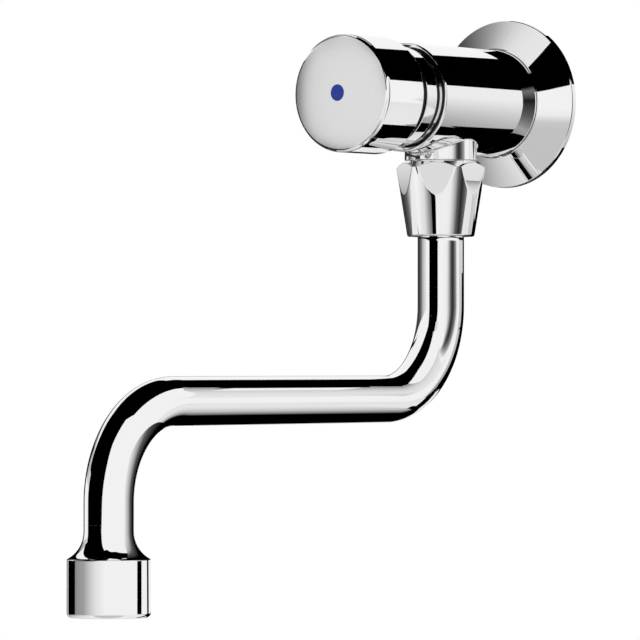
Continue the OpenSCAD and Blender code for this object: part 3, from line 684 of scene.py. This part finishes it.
# Roundings and chamfers that no setting holds
SMALL_EDGE, END_EDGE = 0.3 * MM, 0.5 * MM
BOSS_EDGE = WIRE_EDGE = 0.25 * MM
SEAM_EDGE = 0.1 * EDGE_BREAK
SCREW_CHAMFER, SPIGOT_CHAMFER = 0.5 * MM, 0.8 * MM
# How far the boss's outline is led in above its face and out above the swivel bore
BOSS_LEAD = 1.5 * MM
# Room for the roundings at the nut's foot, under its chamfer and at its top
FOOT_ROOM, CORNER_ROOM, TOP_ROOM = 1.0 * MM, 0.05 * MM, 0.2 * MM
# Power of e beyond which the nut's soft minimum is plainly one side
POWER_LIMIT = 60


def flange_outline(s):
    """Hollow cone: lip, sloping face and rim outside, the same cone moved in by the wall inside, and a sleeve."""
    lip, inner, sleeve_out = s.bore + s.lip, s.radius - s.wall, s.bore + s.sleeve_wall
    rise = (s.depth - s.rim) / (s.radius - lip)
    skin = s.wall * math.sqrt(1 + rise * rise)
    return outline([
        (s.bore, s.depth - s.sleeve),
        (sleeve_out, s.depth - s.sleeve),
        (sleeve_out, s.rim + rise * (s.radius - sleeve_out) - skin),
        (inner, s.rim + rise * s.wall - skin),
        (inner, 0),
        (s.radius, 0, 2 * EDGE_BREAK),
        (s.radius, s.rim, s.edge),
        (lip, s.depth),
        (s.bore, s.depth),
    ])


def barrel_shell(s):
    """Body turned on the tap's axis; on the inlet the radius follows a helix, less the thread's depth at each root."""
    half = s.groove_width / 2
    thread_start, thread_end = s.inlet_end + s.chamfer, s.standoff - THREAD_RELIEF
    rows = outline([
        (s.inlet_bore, s.inlet_end),
        (s.inlet - s.chamfer, s.inlet_end),
        straight(s.inlet, np.linspace(thread_start, thread_end, THREAD_ROWS)),
        (s.inlet, s.standoff),
        (s.radius, s.standoff),
        (s.radius, s.groove_level - half),
        (s.groove, s.groove_level - half),
        (s.groove, s.groove_level + half),
        (s.radius, s.groove_level + half),
        (s.radius, s.reach, s.edge),
        (s.thread, s.reach),
        (s.thread, s.thread_end),
        (s.bore, s.thread_end),
        (s.bore, s.shoulder),
        (s.chamber, s.shoulder),
        (s.chamber, s.chamber_back),
        (s.inlet_bore, s.chamber_back),
    ])
    points, normals = carried(rows, TAP_AXIS, ROUND_SEGMENTS)
    on_inlet = np.flatnonzero((rows[:, 0] == s.inlet) & (rows[:, 2] == 1) & (rows[:, 1] < thread_end + EDGE_BREAK))
    level = rows[on_inlet, 1][:, None]
    turn = np.linspace(0, FULL_TURN, ROUND_SEGMENTS, endpoint=False)[None, :]
    phase = FULL_TURN * level / s.pitch - turn
    fade = np.clip((level - thread_start) / s.pitch, 0, 1) * np.clip((THREAD_STOP - level) / s.pitch, 0, 1)
    drop = s.depth * fade * (0.5 - 0.5 * np.cos(phase))
    lean = s.depth * fade * 0.5 * np.sin(phase)
    ray = np.stack((np.cos(turn), 0 * turn, np.sin(turn)), -1)
    tangent = np.stack((-np.sin(turn), 0 * turn, np.cos(turn)), -1)
    points[on_inlet] -= drop[..., None] * ray
    out = np.array((0, -1.0, 0))
    normals[on_inlet] = (
        ray + (lean * FULL_TURN / s.pitch)[..., None] * out - (lean / (s.inlet - drop))[..., None] * tangent
    )
    return shell(points, normals)


def boss_shell(s, axis):
    """Boss, spigot and bores on the swivel axis. A ball of the fillet's radius rolls round between boss and body:
    its centre keeps to both surfaces moved out by its radius, and the fillet is the arc between the points of touch."""
    turn = np.linspace(0, FULL_TURN, ROUND_SEGMENTS, endpoint=False)
    ray = np.stack((np.sin(turn), np.cos(turn), 0 * turn), -1)
    foot = np.array((0, -axis, 0))
    ball = foot + (s.boss + s.fillet) * ray
    ball[:, 2] = -np.sqrt((s.radius + s.fillet) ** 2 - ball[:, 0] ** 2)
    to_boss = -ray
    to_body = unit(np.stack((-ball[:, 0], 0 * turn, -ball[:, 2]), -1))
    spread = np.arccos(np.clip(np.sum(to_boss * to_body, -1), -1, 1))[None, :, None]
    part = np.linspace(1, 0, FILLET_ROWS)[:, None, None]
    reach = (np.sin((1 - part) * spread) * to_boss + np.sin(part * spread) * to_body) / np.sin(spread)
    fillet = ball + s.fillet * reach
    rows = outline([
        (s.boss, s.boss_low + BOSS_LEAD),
        (s.boss, s.boss_low, BOSS_EDGE),
        (s.spigot, s.boss_low),
        (s.spigot, s.spigot_low + SPIGOT_CHAMFER),
        (s.spigot - SPIGOT_CHAMFER, s.spigot_low),
        (s.swivel, s.spigot_low),
        (s.swivel, s.swivel_top),
        (s.way, s.swivel_top),
        (s.way, s.swivel_top + BOSS_LEAD),
    ], closed=False)
    points = foot + rows[1:, 0, None, None] * ray + rows[1:, 1, None, None] * np.array((0, 0, 1.0))
    normals = -rows[1:, 2, None, None] * ray - rows[1:, 3, None, None] * np.array((0, 0, 1.0))
    middle = (s.radius + s.bore) / 2
    buried = fillet[0] * np.array((1, 0, 1)) * (middle / s.radius) + fillet[0] * np.array((0, 1, 0))
    way = foot + s.way * ray
    way[:, 2] = -np.sqrt(middle**2 - way[:, 0] ** 2)
    up = np.broadcast_to((0, 0, 1.0), buried.shape)
    return shell(
        np.concatenate((buried[None], fillet, points, way[None])),
        np.concatenate((up[None], -reach, normals, up[None])),
    )


def head_outline(s):
    """Screw, open groove, collar and neck outside; recess, guide wall and cylinder bore inside."""
    return outline([
        (s.bore, s.back),
        (s.screw - SCREW_CHAMFER, s.back),
        (s.screw, s.back + SCREW_CHAMFER),
        (s.screw, s.collar_back, SMALL_EDGE),
        (s.collar, s.collar_back, s.back_edge),
        (s.collar, s.collar_front, SMALL_EDGE),
        (s.neck, s.collar_front),
        (s.neck, s.front, END_EDGE),
        (s.recess, s.front, SMALL_EDGE),
        (s.recess, s.guide_front),
        (s.guide, s.guide_front),
        (s.guide, s.guide_back),
        (s.bore, s.guide_back),
    ])


def button_outline(s):
    """Pocket for the index, crown on a large sphere, an edge arc that touches crown and side, skirt and hub."""
    pocket = s.index + s.index_gap
    middle = s.top - s.crown
    lean = math.asin((s.radius - s.edge) / (s.crown - s.edge))
    crown = arc((0, middle), s.crown, math.pi / 2 - lean, math.acos(pocket / s.crown))
    corner = (s.radius - s.edge, middle + (s.crown - s.edge) * math.cos(lean))
    edge = arc(corner, s.edge, 0, math.pi / 2 - lean)
    return outline([
        (0, s.face_inside),
        (s.socket, s.face_inside),
        (s.socket, s.hub_end, SMALL_EDGE),
        (s.hub, s.hub_end, SMALL_EDGE),
        (s.hub, s.face_inside, s.edge),
        (s.skirt, s.face_inside, s.edge),
        (s.skirt, s.back, SMALL_EDGE),
        (s.radius, s.back, END_EDGE),
        edge,
        crown[1:],
        (pocket, s.index_back),
        (0, s.index_back),
    ], closed=False)


def index_outline(s):
    """Disc with a slightly crowned face that ends flush in the button."""
    middle = s.top - s.crown
    rim = s.index - EDGE_BREAK
    crown = arc((0, middle), s.crown, math.acos(rim / s.crown), math.pi / 2)
    return outline([
        (0, s.index_back),
        (s.index, s.index_back),
        (s.index, crown[0, 1] - EDGE_BREAK),
        crown,
    ], closed=False)


def nut_shell(s, axis):
    """Turned outline whose radius r is cut by six flats: each flat lies at f / cos(d) for an angle d from its middle,
    and the lesser of the two is taken with a soft minimum, -k log(exp(-r / k) + exp(-flat / k))."""
    cone_top, cone_low = (s.cone, s.top - s.chamfer), (s.foot, s.low)
    lean = unit(np.array(cone_top) - cone_low)
    chamfer_end = (s.cone - s.chamfer + TOP_ROOM, s.top - TOP_ROOM)
    rows = outline([
        (s.hole, s.low),
        (s.foot, s.low, s.edge),
        slope(cone_low + FOOT_ROOM * lean, cone_top - CORNER_ROOM * lean, CONE_ROWS),
        slope(cone_top + CORNER_ROOM * np.array((-1, 1)), chamfer_end, CHAMFER_ROWS),
        (s.cone - s.chamfer, s.top),
        (s.bore, s.top),
        (s.bore, s.floor),
        (s.hole, s.floor),
    ])
    turn = np.linspace(0, FULL_TURN, NUT_SEGMENTS, endpoint=False)[None, :]
    off = (turn + math.pi / 6) % (math.pi / 3) - math.pi / 6
    turned = rows[:, 0, None]
    flat = s.flat / np.cos(off)
    share_of_turned = 1 / (1 + np.exp(np.clip((turned - flat) / s.crease, -POWER_LIMIT, POWER_LIMIT)))
    radius = np.minimum(turned, flat) - s.crease * np.log1p(np.exp(-np.abs(turned - flat) / s.crease))
    ray = np.stack((np.cos(turn), np.sin(turn), 0 * turn), -1)
    tangent = np.stack((-np.sin(turn), np.cos(turn), 0 * turn), -1)
    up = np.array((0, 0, 1.0))
    points = np.array((0, -axis, 0)) + radius[..., None] * ray + rows[:, 1, None, None] * up
    of_turned = rows[:, 2, None, None] * ray + rows[:, 3, None, None] * up
    of_flat = np.cos(off)[..., None] * ray - np.sin(off)[..., None] * tangent
    weight = share_of_turned[..., None]
    return shell(points, weight * of_turned + (1 - weight) * of_flat)


def spout_path(s):
    """Centre line: down, a quarter turn of the bend's radius outwards, level, and a quarter turn down again."""
    bend_top, tail_top = s.bend - s.drop, -s.drop - s.bend
    quarter = s.bend * math.pi / 2
    run = s.end - s.axis - 2 * s.bend
    lengths = np.array((s.top - bend_top, quarter, run, quarter, tail_top - s.low))
    marks = np.concatenate(((0,), np.cumsum(lengths)))

    def path(levels):
        part = [np.clip(levels - marks[k], 0, lengths[k]) for k in range(len(lengths))]
        first, second = part[1] / s.bend, part[3] / s.bend
        heading = first - second
        out = s.bend * (1 - np.cos(first)) + part[2] + s.bend * np.sin(second)
        down = part[0] + s.bend * np.sin(first) + s.bend * (1 - np.cos(second)) + part[4]
        zero = np.zeros_like(levels)
        centre = np.stack((zero, -s.axis - out, s.top - down), -1)
        along = np.stack((zero, -np.sin(heading), -np.cos(heading)), -1)
        side = np.stack((zero + 1, zero, zero), -1)
        return centre, along, side, np.cross(along, side)

    return path, marks


def spout_rows(s, marks):
    """Wall of the tube: its outside down the path and its bore back up, with close rows round the bends."""
    parts = zip(marks[:-1], marks[1:], SPOUT_ROWS)
    stations = np.concatenate([np.linspace(start, end, count + 1)[:-1] for start, end, count in parts])[1:]
    end = marks[-1]
    return outline([
        (s.bore, 0),
        (s.radius, 0),
        straight(s.radius, stations),
        (s.radius, end, SEAM_EDGE),
        (s.bore, end),
        straight(s.bore, stations[::-1], -1),
    ])


def nozzle_outline(s, tube, tube_low):
    """Spigot in the tube, a hollow flare out to the cylinder, a rounded lower edge and a chamfered mouth."""
    return outline([
        (s.bore, s.mouth_top),
        (s.mouth, s.mouth_top),
        (s.mouth, s.low + s.chamfer),
        (s.mouth + s.chamfer, s.low),
        (s.radius, s.low, s.edge),
        (s.radius, s.shoulder, s.shoulder_edge),
        (tube, s.flare, s.flare_radius),
        (tube, tube_low, SEAM_EDGE),
        (s.spigot, tube_low),
        (s.spigot, s.top),
        (s.bore, s.top),
    ][::-1])


def spring_shell(s):
    """Wire carried round a helix of the coil's radius, with rounded ends."""
    rise = s.front - s.back - 2 * s.wire
    length = math.hypot(FULL_TURN * s.turns * s.coil, rise)

    def path(levels):
        turn = FULL_TURN * s.turns * levels / length
        climb = s.back + s.wire + rise * levels / length
        out = np.stack((np.cos(turn), 0 * turn, np.sin(turn)), -1)
        centre = s.coil * out + np.stack((0 * turn, -climb, 0 * turn), -1)
        flat = FULL_TURN * s.turns * s.coil / length
        along = np.stack((-flat * np.sin(turn), 0 * turn - rise / length, flat * np.cos(turn)), -1)
        return centre, along, out, np.cross(along, out)

    stations = np.linspace(0, length, COIL_ROWS * s.turns + 1)[1:-1]
    rows = outline([
        (0, 0),
        (s.wire, 0, WIRE_EDGE),
        straight(s.wire, stations),
        (s.wire, length, WIRE_EDGE),
        (0, length),
    ], closed=False)
    return shell(*carried(rows, path, WIRE_SEGMENTS), poles=True)


def up_path(out):
    """A path straight up the vertical axis that lies so far out from the wall."""
    return line_path((0, -out, 0), (0, 0, 1), (1, 0, 0))


class PieceOperator:
    """What the operators of the tap share."""
    bl_options = {"REGISTER", "UNDO"}

    def execute(self, context):
        """Makes what the operator stands for from the settings of the scene."""
        self.make(context.scene.timed_tap)
        return {"FINISHED"}

    @staticmethod
    def material(make, *values):
        """A finish, which bears its maker's name, made the first time that it is asked for."""
        return bpy.data.materials.get(make.__name__) or make(*values)


class TAP_OT_flange(PieceOperator, bpy.types.Operator):
    """Make the hollow wall flange"""
    bl_idname = "timed_tap.flange"
    bl_label = "Wall flange"

    def make(self, s):
        chrome = self.material(polished_chrome, s.finish)
        made = shell(*carried(flange_outline(s.flange), TAP_AXIS, ROUND_SEGMENTS))
        piece("flange_skin", [made], chrome, "tap", ["wall_flange"])


class TAP_OT_body(PieceOperator, bpy.types.Operator):
    """Make the body with its boss and its threaded inlet"""
    bl_idname = "timed_tap.body"
    bl_label = "Body"

    def make(self, s):
        chrome = self.material(body_chrome, s.finish)
        shells = [barrel_shell(s.body), boss_shell(s.body, s.spout.axis)]
        piece("body_casting", shells, chrome, "tap", ["tap_body"])


class TAP_OT_head(PieceOperator, bpy.types.Operator):
    """Make the cartridge head with its collar and neck"""
    bl_idname = "timed_tap.head"
    bl_label = "Cartridge head"

    def make(self, s):
        h = s.head
        # The collar's finish paints shade, near black, over the neck and the gap behind the collar
        chrome = self.material(collar_chrome, s.finish, h.neck + h.plate_edge, h.collar_back - h.gap)
        made = shell(*carried(head_outline(s.head), TAP_AXIS, ROUND_SEGMENTS))
        piece("head_collar", [made], chrome, "tap", ["cartridge_head"])


class TAP_OT_button(PieceOperator, bpy.types.Operator):
    """Make the push button and its colour index"""
    bl_idname = "timed_tap.button"
    bl_label = "Push button"

    def make(self, s):
        b = s.button
        face = self.material(satin_faced_chrome, s.finish, b.radius - SATIN_INSET * b.edge, b.top - SATIN_DEPTH)
        made = shell(*carried(button_outline(b), TAP_AXIS, ROUND_SEGMENTS), poles=True)
        piece("button_cap", [made], face, "button", ["push_button"])
        blue = self.material(index_plastic, s.finish)
        made = shell(*carried(index_outline(b), TAP_AXIS, ROUND_SEGMENTS // 2), poles=True)
        piece("index_dot", [made], blue, "button", ["colour_index"])


class TAP_OT_nut(PieceOperator, bpy.types.Operator):
    """Make the coupling nut with its six scalloped flats"""
    bl_idname = "timed_tap.nut"
    bl_label = "Spout nut"

    def make(self, s):
        chrome = self.material(polished_chrome, s.finish)
        piece("coupling_nut", [nut_shell(s.nut, s.spout.axis)], chrome, "tap", ["spout_nut"])


class TAP_OT_spout(PieceOperator, bpy.types.Operator):
    """Make the bent tube of the spout"""
    bl_idname = "timed_tap.spout"
    bl_label = "Spout tube"

    def make(self, s):
        chrome = self.material(polished_chrome, s.finish)
        path, marks = spout_path(s.spout)
        made = shell(*carried(spout_rows(s.spout, marks), path, TUBE_SEGMENTS))
        piece("bent_tube", [made], chrome, "spout", ["spout_tube"])


class TAP_OT_nozzle(PieceOperator, bpy.types.Operator):
    """Make the flared nozzle"""
    bl_idname = "timed_tap.nozzle"
    bl_label = "Nozzle"

    def make(self, s):
        chrome = self.material(polished_chrome, s.finish)
        rows = nozzle_outline(s.nozzle, s.spout.radius, s.spout.low)
        made = shell(*carried(rows, up_path(s.spout.end), ROUND_SEGMENTS))
        piece("nozzle_flare", [made], chrome, "spout", ["outlet_nozzle"])


class TAP_OT_spring(PieceOperator, bpy.types.Operator):
    """Make the return spring, at rest; in the tap it shortens as the button is pushed"""
    bl_idname = "timed_tap.spring"
    bl_label = "Return spring"

    def make(self, s):
        steel = self.material(drawn_steel, s.finish)
        made = piece("coil_spring", [spring_shell(s.spring)], steel, "tap", ["return_spring"])
        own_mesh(made)


class TAP_OT_inner_parts(PieceOperator, bpy.types.Operator):
    """Give the carried-over pieces of the cartridge, the joint and the outlet their finishes"""
    bl_idname = "timed_tap.inner_parts"
    bl_label = "Inner parts"

    def make(self, s):
        makers = {
            "brass": turned_brass,
            "stainless": drawn_steel,
            "acetal": moulded_acetal,
            "nitrile": nitrile_rubber,
        }
        for part in frame["record"]["subparts"]:
            node = frame["nodes"][part["node"]]
            if node.hide_render:
                continue
            node.data.materials.clear()
            node.data.materials.append(self.material(makers[part["material_slot"]], s.finish))


# Stage

# Output of the Geometry node that tells a card's back from its front
BACKFACING = 6
BLACK, WHITE = 0.0, 1.0
FLOOR_WIDTH = 6.0
# Share of the floor that is self-lit where it is seen
FLOOR_GLOW = 0.75
# Point that the camera was set up on and that the lamps face
AIM = np.array((0, -60, -110)) * MM
# Width of the camera's sensor in mm, and how far it sees in metres
SENSOR, VIEW_END = 36, 50
# Lamps: name, place, width and power
LAMPS = (
    ("key_lamp", (-1.6, -2.2, 1.8), 1.6, 40.0),
    ("fill_lamp", (2.0, -1.4, 0.9), 1.4, 18.0),
)


def grey(tone):
    """A grey with its alpha."""
    return (tone, tone, tone, 1.0)


def seen_ray(start):
    """1 for rays from the camera, from a reflection or through glass, and 0 for those that only bring light."""
    kinds = ("Camera", "Glossy", "Transmission")
    camera, glossy, through = (start.node("LightPath", {}, {}, f"Is {kind} Ray") for kind in kinds)
    return start.math("MINIMUM", camera + glossy + through, 1.0)


def floor_paper():
    """Pale paper: a faint fibre in its colour, and partly self-lit where it is seen, so that it reads as near white."""
    made = Finish("floor_paper")
    fibre = made.noise(40.0, 6.0)
    paper = made.start.node("BsdfDiffuse", {}, {"Color": fibre.mix(grey(0.80), grey(0.84))})
    white = made.start.node("Emission", {}, {"Color": grey(WHITE), "Strength": 1.0})
    mixed = made.start.node("MixShader", {}, {0: seen_ray(made.start) * FLOOR_GLOW, 1: paper, 2: white})
    made.start.node("OutputMaterial", {}, {"Surface": mixed})
    return made.material


def floor_sheet(level):
    """A level square of pale paper under the tap."""
    half = FLOOR_WIDTH / 2
    corners = [(x * half, y * half, level) for x, y in ((-1, -1), (1, -1), (1, 1), (-1, 1))]
    made = placed("floor", corners, [(0, 1, 2, 3)], floor_paper())


def studio_world(s):
    """White for the camera and for reflections, and a quieter light on everything else."""
    world = bpy.data.worlds.new("studio")
    world.use_nodes = True
    world.node_tree.nodes.clear()
    start = Shade(world.node_tree)
    white = start.node("Background", {}, {"Color": grey(WHITE), "Strength": s.background})
    room = start.node("Background", {}, {"Color": grey(WHITE), "Strength": s.ambient})
    mixed = start.node("MixShader", {}, {0: seen_ray(start), 1: room, 2: white})
    start.node("OutputWorld", {}, {"Surface": mixed})
    return world


def card_paper(name, tones, fade, lift):
    """Self-lit card that is clear from behind: one tone, or tones along an axis that may lift to another tone."""
    made = Finish(name)
    if fade is None:
        colour = grey(tones)
    else:
        first, last = tones[0][0] * MM, tones[-1][0] * MM
        along = made.start.node("MapRange", {}, {0: made.along(fade), 1: first, 2: last, 3: 0.0, 4: 1.0})
        stops = [((place * MM - first) / (last - first), grey(tone)) for place, tone in tones]
        colour = made.start.node("ValToRGB", {"stops": stops}, {0: along})
    if lift:
        axis, low, high, tone = lift
        colour = made.along(axis).step(low * MM, high * MM).mix(colour, grey(tone))
    front = made.start.node("Emission", {}, {"Color": colour, "Strength": 1.0})
    clear = made.start.node("BsdfTransparent", {}, {})
    behind = made.start.node("NewGeometry", {}, {}, BACKFACING)
    mixed = made.start.node("MixShader", {}, {0: behind, 1: front, 2: clear})
    made.start.node("OutputMaterial", {}, {"Surface": mixed})
    return made.material


def card(name, axis, level, facing, corners, tones, fade=None, lift=None):
    """A flat stage card that only reflections see: corners in two axes, and on the third a level that may lean."""
    if np.ndim(corners) == 1:
        left, low, right, high = corners
        corners = ((left, low), (right, low), (right, high), (left, high))
    corners = np.array(corners, float) * MM
    level, *lean = np.append(level, (0, 0))[:3]
    places = np.insert(corners, axis, level * MM + corners @ lean, axis=1)
    turn = np.cross(places, np.roll(places, -1, 0)).sum(0)[axis]
    places = places if turn * facing > 0 else places[::-1]
    made = placed(name, places, [tuple(range(len(places)))], card_paper(name, tones, fade, lift))
    made.visible_camera = made.visible_diffuse = made.visible_shadow = False
    made.visible_transmission = made.visible_volume_scatter = False


# Cards of the studio that the plate reflects, in mm: name, axis and level of the plane, side that it faces, corners in
# the other two axes, or the low and high corner of an oblong, then one tone, or tones at places along an axis, which
# may lift to a last tone along another axis
CARDS = (
    ("side_flag", X, 87.7, -1, ((-250, 38), (700, 38), (700, 600), (-330, 600), (-330, 200)), BLACK),
    ("roof_flag", Z, 200, -1, ((6, 50), (87.7, 50), (87.7, 600), (-160, 600), (-22, 170)), BLACK),
    ("flange_roof_flag", Z, 200, -1, ((-100, -60), (87.7, -60), (87.7, 50), (6, 50), (6, 110), (-100, 110)), BLACK),
    ("front_flag", Y, -3000, 1, (-1250, -270, 740, 3000), BLACK),
    ("sky_flag", Z, 3000, -1, ((-1250, -3000), (740, -3000), (800, 100), (-880, 100)), BLACK),
    ("face_card", Y, -128.5, 1, ((19, 0), (14.5, 18), (0, 28.5), (-20.3, 29), (-38.1, 25.1), (-51.2, 14.5),
        (-56, 0), (-51.2, -14.5), (-38.2, -25.1), (-20.3, -29), (0, -28.5), (14.5, -18)), ((-56, 0), (-51, 0.3),
        (-47.5, 0.8), (-40, 0.92), (15.4, 0.95)), X),
    ("flange_front_card", Y, -60, 1, (-57, 45, 30, 250), ((-50, 0.73), (-35, 0.79), (-19, 0.84), (0, 0.875),
        (30, 0.9)), X),
    ("button_roof_flag", Z, 60, -1, (-30, -240, 87.7, -130), BLACK),
    ("button_left_flag", X, (-100, 0, -2), 1, ((-350, -40), (-100, -40), (-100, -20), (-8, -20), (-8, 110),
        (-350, 110)), 0.03),
    ("button_edge_card", Y, -200, 1, (-30, -43, 60, 6), WHITE),
    ("body_under_flag", Y, 150, -1, ((94, -147), (60, -64), (-170, -58), (-112, -109), (14, -168)), BLACK),
    ("button_under_flag", Y, 150, -1, ((102, -165), (63, -130), (3, -192), (-20, -227), (76, -212)), BLACK),
    ("run_under_flag", Y, 150, -1, ((108, -212), (108, -600), (-490, -610), (-490, -212), (-86, -212)), BLACK),
    ("body_side_card", Y, 151, -1, ((26, -161), (108, -173), (202, -27), (182, 114), (88, 77)), ((-169, 0.33),
        (9, 0.95)), Z),
    ("flange_side_flag", X, (75, 1.333, 0), -1, (-4, -550, 50, 130), ((-274, 0.1), (-200, 0.25), (-93, 0.43),
        (-31, 0.12), (6, 0.01), (28, 0.2), (40, 0)), Z),
    ("flange_right_card", Y, -27, 1, ((20, -47), (60, -47), (60, 0), (24, 0)), ((-47, 0.6), (-20.7, 0.605),
        (-14.8, 0.65), (-9.2, 0.94), (-4, 1)), Z),
    ("ring_low_flag", Z, -90, 1, (-50, -9, 60, 30), BLACK),
    ("riser_left_flag", X, -350, 1, ((-470, -105), (-100, -105), (-100, -250), (200, -250), (480, -140), (480, 0),
        (-200, 0), (-470, -30)), ((-470, 0.92), (-310, 0.7), (-195, 0.45), (-120, 0.15), (0, 0.05), (480, 0.02)),
        Y),
    ("riser_back_flag", Y, 150, -1, ((30, -160), (30, -35), (-160, -30), (-160, -105), (-100, -105), (-100, -160)),
        BLACK),
    ("riser_right_card", X, (360, 1, 1), -1, ((-160, -125), (350, -125), (350, 450), (-90, 450), (-90, 120),
        (-120, 30), (-160, 30)), ((-140, 0.97), (-123, 0.92), (-96, 0.55), (-64, 0.12), (-18, 0.02), (62, 0.13),
        (280, 0.5), (350, 0.6)), Y, (Z, 0, 450, 0.85)),
    ("run_fade_card", Z, -30, -1, ((44, -120), (75, -100), (105, -50), (145, -10), (220, 70), (400, 200),
        (400, 300), (44, 300)), ((45.6, 0.3), (68.5, 0.57), (97.7, 0.76), (140, 0.84), (214, 0.88), (400, 0.95)),
        X),
    ("nut_left_card", X, -150, 1, (-55, -36, -15, -12), ((-34, 0.4), (-31, 0.49), (-27.7, 0.6), (-25.3, 0.68),
        (-20.7, 0.78), (-18, 0.82)), Z),
    ("nut_flag", Y, -144.5, 1, (17.6, -85, 40.4, -45), BLACK),
    ("nut_card", Y, -144.5, 1, (25, -44, 60, -8), 0.8),
    ("nut_floor_card", Z, -125, 1, ((-220, -290), (55, -300), (100, -560), (-400, -520)), ((-220, 1), (-80, 0.8),
        (-10, 0.4), (50, 0.12)), X),
    ("bend_flag", Y, -270, 1, ((-50, -172), (3, -172), (5, -126), (-50, -126)), BLACK),
    ("bend_front_card", Y, -271, 1, ((4.5, -172), (30, -172), (30, -128), (9.5, -128)), WHITE),
    ("bend_back_flag", X, -30, 1, (-244.5, -172, -200, -125), BLACK),
    ("bend_cap_flag", Z, -90, -1, ((0, -200), (-15, -200), (-40, -231), (-78, -248), (-200, -280), (-200, -360),
        (0, -360)), BLACK),
    ("run_flag", Z, -53.5, -1, ((-15.5, -235), (25, -235), (31, -160), (28, -130), (20, -102), (14.5, -88),
        (14.5, -52), (31, -18), (31, 0), (-22, 0), (-22, -120)), BLACK),
    ("bend_card", Z, -53.5, -1, ((14.5, -100), (60, -100), (60, -18), (31, -18), (14.5, -52)), WHITE),
    ("bend_inner_card", Z, -48, -1, ((-100, -190), (-64, -190), (-46, -150), (-33, -120), (-23.5, -100),
        (-21.5, -85), (-21, -60), (-22, -40), (-25, -20), (-25, 0), (-100, 0)), WHITE),
    ("run_low_card", Z, -215, 1, (38.5, -150, 230, 110), ((38.5, 0), (45.5, 0.14), (85, 0.6), (146, 0.84),
        (230, 0.93)), X),
    ("bend_edge_card", Y, -220, -1, (0, -170, 60, -125), ((9, 0), (20, 0.1), (28, 0.4), (42, 0.7), (60, 0.85)), X),
    ("run_end_flag", Y, -100, -1, ((6.6, -109.5), (7.6, -111.5), (45, -45), (14, -45)), BLACK),
    ("riser_front_flag", Y, -56, -1, ((-8, -105), (3, -105), (7.5, -97), (9.5, -90), (9.5, -53.5), (-9, -53.5)),
        BLACK),
    ("nozzle_left_flag", X, -150, 1, (-324, -220, -211, -169), BLACK),
    ("nozzle_right_flag", Y, 0, -1, (205, -220, 370, -172), BLACK),
    ("nozzle_front_card", Y, -450, 1, (-450, -260, 250, -173), ((-460, 0.25), (-120, 0.38), (20, 0.85), (120, 1)),
        X),
    ("flange_left_card", X, -200, 1, ((20, 90), (-80, 420), (-400, 460), (-300, 120)), ((108, 0.07), (293, 0.53),
        (343, 0.62), (420, 0.71)), Z),
    ("flange_low_card", Z, -300, 1, ((-15, -590), (350, -680), (285, -277), (-11, -240)), 0.6),
    ("flange_floor_card", Z, -300, 1, (-600, -500, -20, 0), ((-400, 0.3), (-20, 0.95)), X),
)


def stood(data, right, up, back, place):
    """A camera or lamp in the scene, turned so that its own axes are right, up and back."""
    made = bpy.data.objects.new(data.name, data)
    bpy.context.scene.collection.objects.link(made)
    matrix = np.eye(4)
    matrix[:3] = np.stack((right, up, back, place), 1)
    made.matrix_world = Matrix(matrix.tolist())
    return made


class TAP_OT_stage(bpy.types.Operator):
    """Set up the camera, the floor and the light"""
    bl_idname = "timed_tap.stage"
    bl_label = "Stage"

    def execute(self, context):
        s = context.scene.timed_tap.stage
        scene = context.scene
        scene.view_settings.view_transform = "Standard"
        scene.world = studio_world(s)
        forward = np.array((
            -math.sin(s.azimuth) * math.cos(s.pitch), math.cos(s.azimuth) * math.cos(s.pitch), math.sin(s.pitch)))
        right = np.array((math.cos(s.azimuth), math.sin(s.azimuth), 0))
        up = np.cross(right, forward)
        place = AIM - s.distance * forward - s.across * right - s.above * up
        data = bpy.data.cameras.new("photo_camera")
        data.lens, data.sensor_width, data.clip_end = s.lens, SENSOR, VIEW_END
        scene.camera = stood(data, right, up, -forward, place)
        floor_sheet(s.floor)
        for values in CARDS:
            card(*values)
        for name, place, width, power in LAMPS:
            light = bpy.data.lights.new(name, "AREA")
            light.size, light.energy = width, power
            back = unit(np.array(place) - AIM)
            side = unit(np.cross((0, 0, 1), back))
            stood(light, side, np.cross(back, side), back, place).visible_glossy = False
        return {"FINISHED"}


class TAP_PT_panel(bpy.types.Panel):
    """Lists the tap's pieces and what can be set on them"""
    bl_idname = "TAP_PT_panel"
    bl_label = "Push timed tap"
    bl_space_type = "VIEW_3D"
    bl_region_type = "UI"
    bl_category = "Push tap"

    def draw(self, context):
        for operator in OPERATORS:
            self.layout.operator(operator.bl_idname)
        settings = context.scene.timed_tap
        for group in settings.bl_rna.properties.keys():
            held = getattr(settings, group)
            if isinstance(held, bpy.types.PropertyGroup):
                box = self.layout.box()
                box.label(text=held.bl_rna.description)
                for key in held.__annotations__:
                    box.prop(held, key)


OPERATORS = (
    TAP_OT_flange,
    TAP_OT_body,
    TAP_OT_head,
    TAP_OT_button,
    TAP_OT_nut,
    TAP_OT_spout,
    TAP_OT_nozzle,
    TAP_OT_spring,
    TAP_OT_inner_parts,
    TAP_OT_stage,
)
CLASSES = (
    FlangeSizes, BodySizes, HeadSizes, ButtonSizes, NutSizes, SpoutSizes, NozzleSizes, SpringSizes,
    FinishSettings, StageSettings, TapSettings, *OPERATORS, TAP_PT_panel,
)


def register():
    """Registers the classes and hangs the settings on the scene."""
    for made in CLASSES:
        bpy.utils.register_class(made)
    bpy.types.Scene.timed_tap = PointerProperty(type=TapSettings)


def unregister():
    """Takes the settings and the classes away again."""
    del bpy.types.Scene.timed_tap
    for made in reversed(CLASSES):
        bpy.utils.unregister_class(made)


def main():
    """Registers the add-on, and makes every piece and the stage."""
    register()
    for operator in OPERATORS:
        getattr(bpy.ops.timed_tap, operator.bl_idname.partition(".")[2])()


if __name__ == "__main__":
    main()
